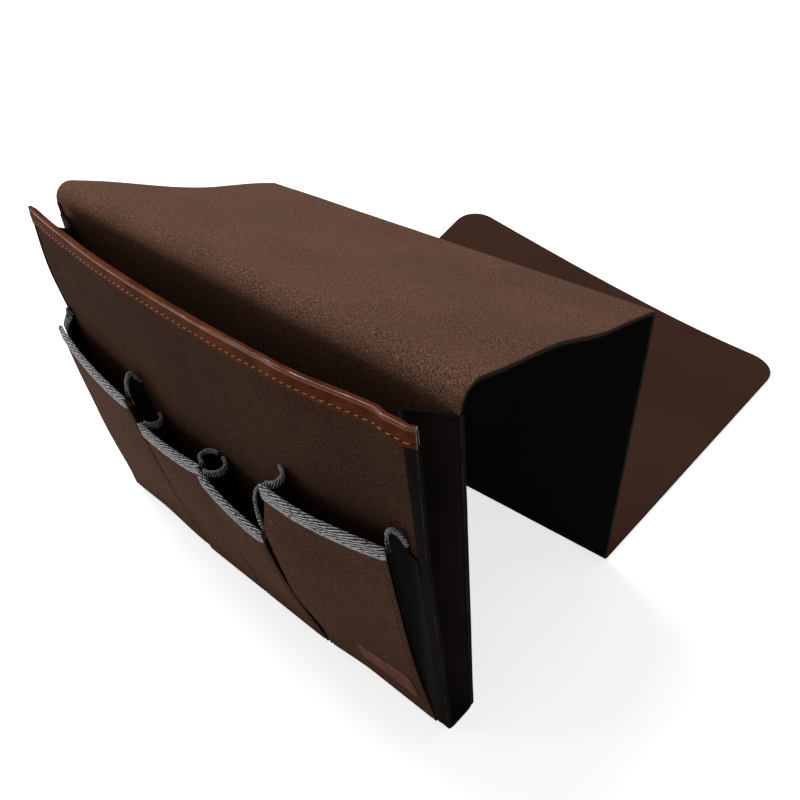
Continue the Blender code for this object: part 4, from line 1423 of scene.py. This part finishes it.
class ORGANIZER_OT_trim(bpy.types.Operator):
    """Build the leather trim on the magazine pocket's mouth, with its stitches"""

    bl_idname = "organizer.trim"
    bl_label = "Leather trim"

    def execute(self, context):
        trim = make_sweep("mouth_trim", *trim_path(150), TRIM_SECTION, ["trim", "cut"])
        give(trim, "trim_leather", "outer_panel", nodes=["trim"])
        stitches = self.stitches(context.scene.organizer_pockets)
        give(stitches, "trim_leather", "outer_panel")
        return {"FINISHED"}

    def stitches(self, sizes):
        path, frames = trim_path(600)
        lengths = travelled(path)
        patches = []
        along = STITCH_START
        while along < lengths[-1] - sizes.stitch_length:
            for side in (1, -1):
                patches.append(self.stitch(path, frames, lengths, along, sizes, side))
            along += sizes.stitch_pitch
        return make_object("trim_stitches", patches, ["thread"], 80.0)

    def stitch(self, path, frames, lengths, along, sizes, side):
        """One stitch as a short bowed strand that dips into the leather at its ends."""
        rings, uvs = [], []
        for share in steps(0.0, 1.0, 6):
            place = along + share * sizes.stitch_length
            i = min(max(int(np.searchsorted(lengths, place)) - 1, 0), len(path) - 2)
            rest = (place - lengths[i]) / (lengths[i + 1] - lengths[i])
            across, down = frames[i][0] * side, frames[i][1]
            bow = math.sin(math.pi * share)
            out = TRIM_GROOVE_OUT + THREAD_RISE * bow**0.6 - THREAD_DIP
            girth = THREAD_RADIUS * (0.35 + 0.65 * bow**0.5)
            slant = (share - 0.5) * THREAD_SLANT
            centre = (mix(path[i], path[i + 1], rest)
                      + across * out + down * (TRIM_GROOVE_DOWN + slant))
            turn = steps(0.0, 2 * math.pi, 8)
            rings.append([centre + girth * (across * math.cos(a) + down * math.sin(a))
                          for a in turn])
            uvs.append([(place, girth * a) for a in turn])
        return np.array(rings), np.array(uvs), 0


def front_relief(pocket, up, across):
    """Small dents and slack creases of a pocket's front, and its sewn sides."""
    u, v = pocket.cloth(up, across)
    dents = 0.0005 * ripple(u, v, 0.045, 4.0 + pocket.number)
    slack = 0.0006 * ripple(u * 0.35, v, 0.018, 9.0 + pocket.number) * ease((up - 0.4) / 0.4)
    inset = min(across, 1 - across) * pocket.width
    seam = SEAM_DEPTH * math.exp(-(((inset - SEAM_INSET) / SEAM_WIDTH) ** 2))
    return (dents + slack) * ease(up / 0.1) * ease((1 - up) / 0.08) - seam


def binding_outline(core, drop, thickness=TAPE_THICKNESS):
    """A strip folded over an edge, as (across, down) points round its core."""
    inner = core / 2 + TAPE_GAP
    outer = inner + thickness
    crown = [(outer * math.cos(a), -TAPE_GAP - thickness * math.sin(a))
             for a in steps(0.0, math.pi, 6)]
    front = [(outer - 0.0002, drop), (outer, drop - 0.0003), (outer, drop * 0.5)]
    back = [(-across, down) for across, down in front[::-1]]
    return [*front, *crown, *back, (-inner, drop), (-inner, -TAPE_GAP),
            (inner, -TAPE_GAP), (inner, drop)]


class ORGANIZER_OT_small_pockets(bpy.types.Operator):
    """Build the four small pockets: fronts, folded sides and their bound edges"""

    bl_idname = "organizer.small_pockets"
    bl_label = "Small pockets"

    def execute(self, context):
        sizes = context.scene.organizer_pockets
        for number in range(1, 5):
            pocket = SmallPocket(panel_shape(), sizes, number)
            extras = [self.front_tape(pocket, sizes)]
            if number == PATCHED_POCKET:
                extras.append(self.patch(pocket))
            self.front(pocket, extras)
            for side, place in enumerate(("far", "near")):
                self.side(pocket, side, place, sizes)
        return {"FINISHED"}

    def front(self, pocket, extras):
        edge = FRONT_EDGE[2][0] / pocket.width
        up = [s**1.5 for s in steps(0.02, 0.997, 40)]
        *ends, inner = (edge * e for e in FRONT_ENDS)
        across = [*ends, *steps(inner, 1 - inner, 30), *[1 - e for e in ends[::-1]]]
        piece = make_sheet(f"{pocket.name}_cloth", (pocket.outer_point, pocket.cloth),
                           up, across, POCKET_FABRIC, FRONT_EDGE, FRONT_ZONES, facing=-1,
                           relief=functools.partial(front_relief, pocket))
        declare(pocket.outer_point, up, across)
        foot = pocket.point(0.0, 0.5)
        give(piece, "pocket_suede", "outer_panel", f"pocket_{pocket.number}",
             fold=(foot, foot + np.array([0.0, 0.0, SEWN_FOOT])),
             nodes=[f"pocket_{pocket.number}_front"])

    def front_tape(self, pocket, sizes):
        path, frames, scales = [], [], []
        end = TAPE_END / pocket.width
        for across in steps(end, 1 - end, 60):
            top = pocket.point(1.0, across)
            normal = -surface_normal(pocket.point, 1.0, across)
            path.append(top + normal * POCKET_FABRIC / 2)
            frames.append((normal, unit(pocket.point(0.95, across) - top)))
            scales.append(mix(0.80, 1.0, ease((1.0 - across) / 0.20)))
        outline = binding_outline(POCKET_FABRIC, sizes.tape_drop)
        piece = make_sweep(f"{pocket.name}_tape", path, frames, outline, ["tape"],
                           0.37 * pocket.number, scales)
        give(piece, "binding_tape", f"pocket_{pocket.number}",
             nodes=[f"pocket_{pocket.number}_tape"])
        return piece

    def side(self, pocket, side, place, sizes):
        point = functools.partial(pocket.gusset_point, side)
        up, across = [s**1.4 for s in steps(0.0, 1.0, 34)], steps(0.0, 1.0, 22)
        cloth = make_sheet(f"{pocket.name}_side_{place}", (point, cloth_of(*LOOP_CLOTH)),
                           up, across, GUSSET_THICKNESS, SIDE_EDGE, one_finish("gusset"),
                           facing=1 if side == 0 else -1)
        tape = self.side_tape(pocket, side, place, point, sizes)
        if (pocket.number, place) == (PATCHED_POCKET, "near"):
            self.flange(pocket)
        declare(point, up, across, True)
        outer, inner = pocket.point(1.0, side), pocket.point(0.0, side)
        lean = unit(outer - inner)
        start = pocket.panel.place(outer[1], pocket.top(side), LOOP_FOLD_START)
        gap = outer + np.array([LOOP_FOLD_END, 0.0, 0.0]) - start
        gap[1] = 0.0
        square = np.array([-lean[2], 0.0, lean[0]])
        fold = (start, start + square * float(gap @ square))
        for piece, slot, node in ((cloth, "gusset_cloth", "gusset"),
                                  (tape, "binding_tape", "tape")):
            give(piece, slot, "outer_panel", f"pocket_{pocket.number}", fold=fold,
                 nodes=[f"pocket_{pocket.number}_{node}_{place}"])

    def side_tape(self, pocket, side, place, point, sizes):
        """The narrow tape that binds a side's upper edge, wider where it meets the front."""
        path, frames, scales = [], [], []
        for a in steps(0.0, 1.0, 44):
            here = point(1.0, a)
            along = unit(point(1.0, min(a + 0.01, 1.0)) - point(1.0, max(a - 0.01, 0.0)))
            normal = surface_normal(point, 1.0, a)
            down = np.cross(along, normal)
            if float(down @ (point(0.97, a) - here)) < 0:
                down = -down
            path.append(here)
            along_side = unit(point(0.93, a) - here)
            frames.append((normal, unit(mix(along_side, down, ease(a / 0.30)))))
            scales.append(mix(LOOP_TAPE_TAIL, LOOP_TAPE_BODY[side], ease(a / 0.20)))
        outline = binding_outline(GUSSET_THICKNESS, sizes.loop_tape, LOOP_TAPE_THICKNESS)
        return make_sweep(f"{pocket.name}_side_tape_{place}", path, frames, outline,
                          ["loop_tape"], 0.11 * pocket.number, scales)

    def flange(self, pocket):
        """The sewn edge of the near side's cloth, flat on the outer panel."""
        def point(up, across):
            z = mix(*FLANGE_HEIGHTS, up)
            level = (z - GUSSET_FOOT_HEIGHT) / (pocket.top(1) - GUSSET_FOOT_HEIGHT)
            side_y = pocket.gusset_point(1, max(level, 0.0), 1.0)[1]
            return pocket.panel.place(mix(side_y, FLANGE_END, across), z, FLANGE_RAISED)

        piece = make_sheet("small_pocket_4_flange", (point, cloth_of(*FLANGE_CLOTH)),
                           steps(0.0, 1.0, 30), steps(0.0, 1.0, 5), FLANGE_THICKNESS,
                           FLANGE_EDGE, one_finish("gusset"), facing=-1)
        give(piece, "gusset_cloth", "outer_panel")
        return piece

    def patch(self, pocket):
        def point(up, across):
            low, high = (mix(left, right, across) for left, right in PATCH_HEIGHTS)
            start, stop = (mix(below, above, up) for below, above in PATCH_SIDES)
            return pocket.point(mix(low, high, up), mix(start, stop, across)) - np.array(
                [POCKET_FABRIC + PATCH_THICKNESS, 0.0, 0.0])

        piece = make_sheet("leather_patch", (point, cloth_of(*PATCH_CLOTH)),
                           steps(0.03, 0.97, 16), steps(0.014, 0.986, 30),
                           PATCH_THICKNESS, PATCH_EDGE, one_finish("patch"), facing=-1)
        give(piece, "patch_leather", "pocket_4", nodes=["patch"])
        return piece


class ORGANIZER_OT_stage(bpy.types.Operator):
    """Set up the floor, the soft lights and the camera"""

    bl_idname = "organizer.stage"
    bl_label = "Stage"

    def execute(self, context):
        scene = context.scene
        scene.view_settings.view_transform = "Standard"
        self.floor(tuple(scene.organizer_colours.floor))
        self.world(scene)
        for name, lamp in LAMPS.items():
            self.lamp(name, **lamp)
        camera = bpy.data.objects.new("camera", bpy.data.cameras.new("camera"))
        camera.data.sensor_width = 36.0
        camera.data.lens = CAMERA_LENS
        camera.data.clip_start = 0.01
        turn = Matrix((CAMERA_RIGHT, CAMERA_UP, CAMERA_BACK)).transposed()
        camera.matrix_world = Matrix.Translation(CAMERA_PLACE) @ turn.to_4x4()
        scene.collection.objects.link(camera)
        scene.camera = camera
        return {"FINISHED"}

    def seen(self, f):
        """1 where the camera looks straight at something or through it."""
        path = f.node("ShaderNodeLightPath")
        return f.math("MAXIMUM", path, f.other(path, "Is Transmission Ray"))

    def floor(self, tone):
        mesh = bpy.data.meshes.new("floor")
        corners = ((-1, -1), (1, -1), (1, 1), (-1, 1))
        mesh.from_pydata([(x * FLOOR_REACH, y * FLOOR_REACH, FLOOR_HEIGHT)
                          for x, y in corners], [], [(0, 1, 2, 3)])
        floor = bpy.data.objects.new("floor", mesh)
        bpy.context.scene.collection.objects.link(floor)
        f = Finish("pale_floor")
        glow = f.node("ShaderNodeEmission", {},
                      {"Color": WHITE, "Strength": self.seen(f) * FLOOR_GLOW})
        surface = f.node("ShaderNodeBsdfDiffuse", {}, {"Color": (*tone, 1.0)})
        both = f.node("ShaderNodeAddShader", {}, {0: surface, 1: glow})
        f.feed(f.tree.nodes["Material Output"].inputs["Surface"], both)
        mesh.materials.append(f.material)
        floor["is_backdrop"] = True

    def world(self, scene):
        scene.world = bpy.data.worlds.new("studio")
        f = Finish("studio", scene.world)
        background = f.tree.nodes["Background"]
        f.feed(background.inputs["Color"], WHITE)
        f.feed(background.inputs["Strength"], self.seen(f) * (1 - SKY_LIGHT) + SKY_LIGHT)

    def lamp(self, name, place, target, size, power):
        data = bpy.data.lights.new(name, "AREA")
        data.shape = "DISK"
        data.size = size
        data.energy = power
        lamp = bpy.data.objects.new(name, data)
        lamp.location = place
        aim = Vector(place) - Vector(target)
        lamp.rotation_euler = aim.to_track_quat("Z", "Y").to_euler()
        bpy.context.scene.collection.objects.link(lamp)


class ORGANIZER_PT_pieces(bpy.types.Panel):
    """Sizes, colours and pieces of the organizer"""

    bl_idname = "ORGANIZER_PT_pieces"
    bl_label = "Armrest organizer"
    bl_space_type = "VIEW_3D"
    bl_region_type = "UI"
    bl_category = "Organizer"

    def draw(self, context):
        for title, group in (("Cover", context.scene.organizer_cover),
                             ("Pockets", context.scene.organizer_pockets),
                             ("Colours", context.scene.organizer_colours)):
            box = self.layout.box()
            box.label(text=title)
            for name in type(group).__annotations__:
                box.prop(group, name)
        for operator in OPERATORS:
            self.layout.operator(operator.bl_idname)


OPERATORS = (
    ORGANIZER_OT_stage, ORGANIZER_OT_cover, ORGANIZER_OT_magazine_pocket,
    ORGANIZER_OT_trim, ORGANIZER_OT_small_pockets,
)
GROUPS = {
    "organizer_cover": CoverSizes, "organizer_pockets": PocketSizes,
    "organizer_colours": Colours,
}


def register():
    for cls in (*GROUPS.values(), *OPERATORS, ORGANIZER_PT_pieces):
        bpy.utils.register_class(cls)
    for name, group in GROUPS.items():
        setattr(bpy.types.Scene, name, PointerProperty(type=group))


def unregister():
    for name in GROUPS:
        delattr(bpy.types.Scene, name)
    for cls in (ORGANIZER_PT_pieces, *OPERATORS, *GROUPS.values()):
        bpy.utils.unregister_class(cls)


def main():
    register()
    bpy.ops.organizer.stage()
    bpy.ops.organizer.cover()
    bpy.ops.organizer.magazine_pocket()
    bpy.ops.organizer.trim()
    bpy.ops.organizer.small_pockets()
    boxes = {"frame": frame_box, "visual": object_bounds()}
    {name: [list(corner) for corner in box] for name, box in boxes.items()}


if __name__ == "__main__":
    main()
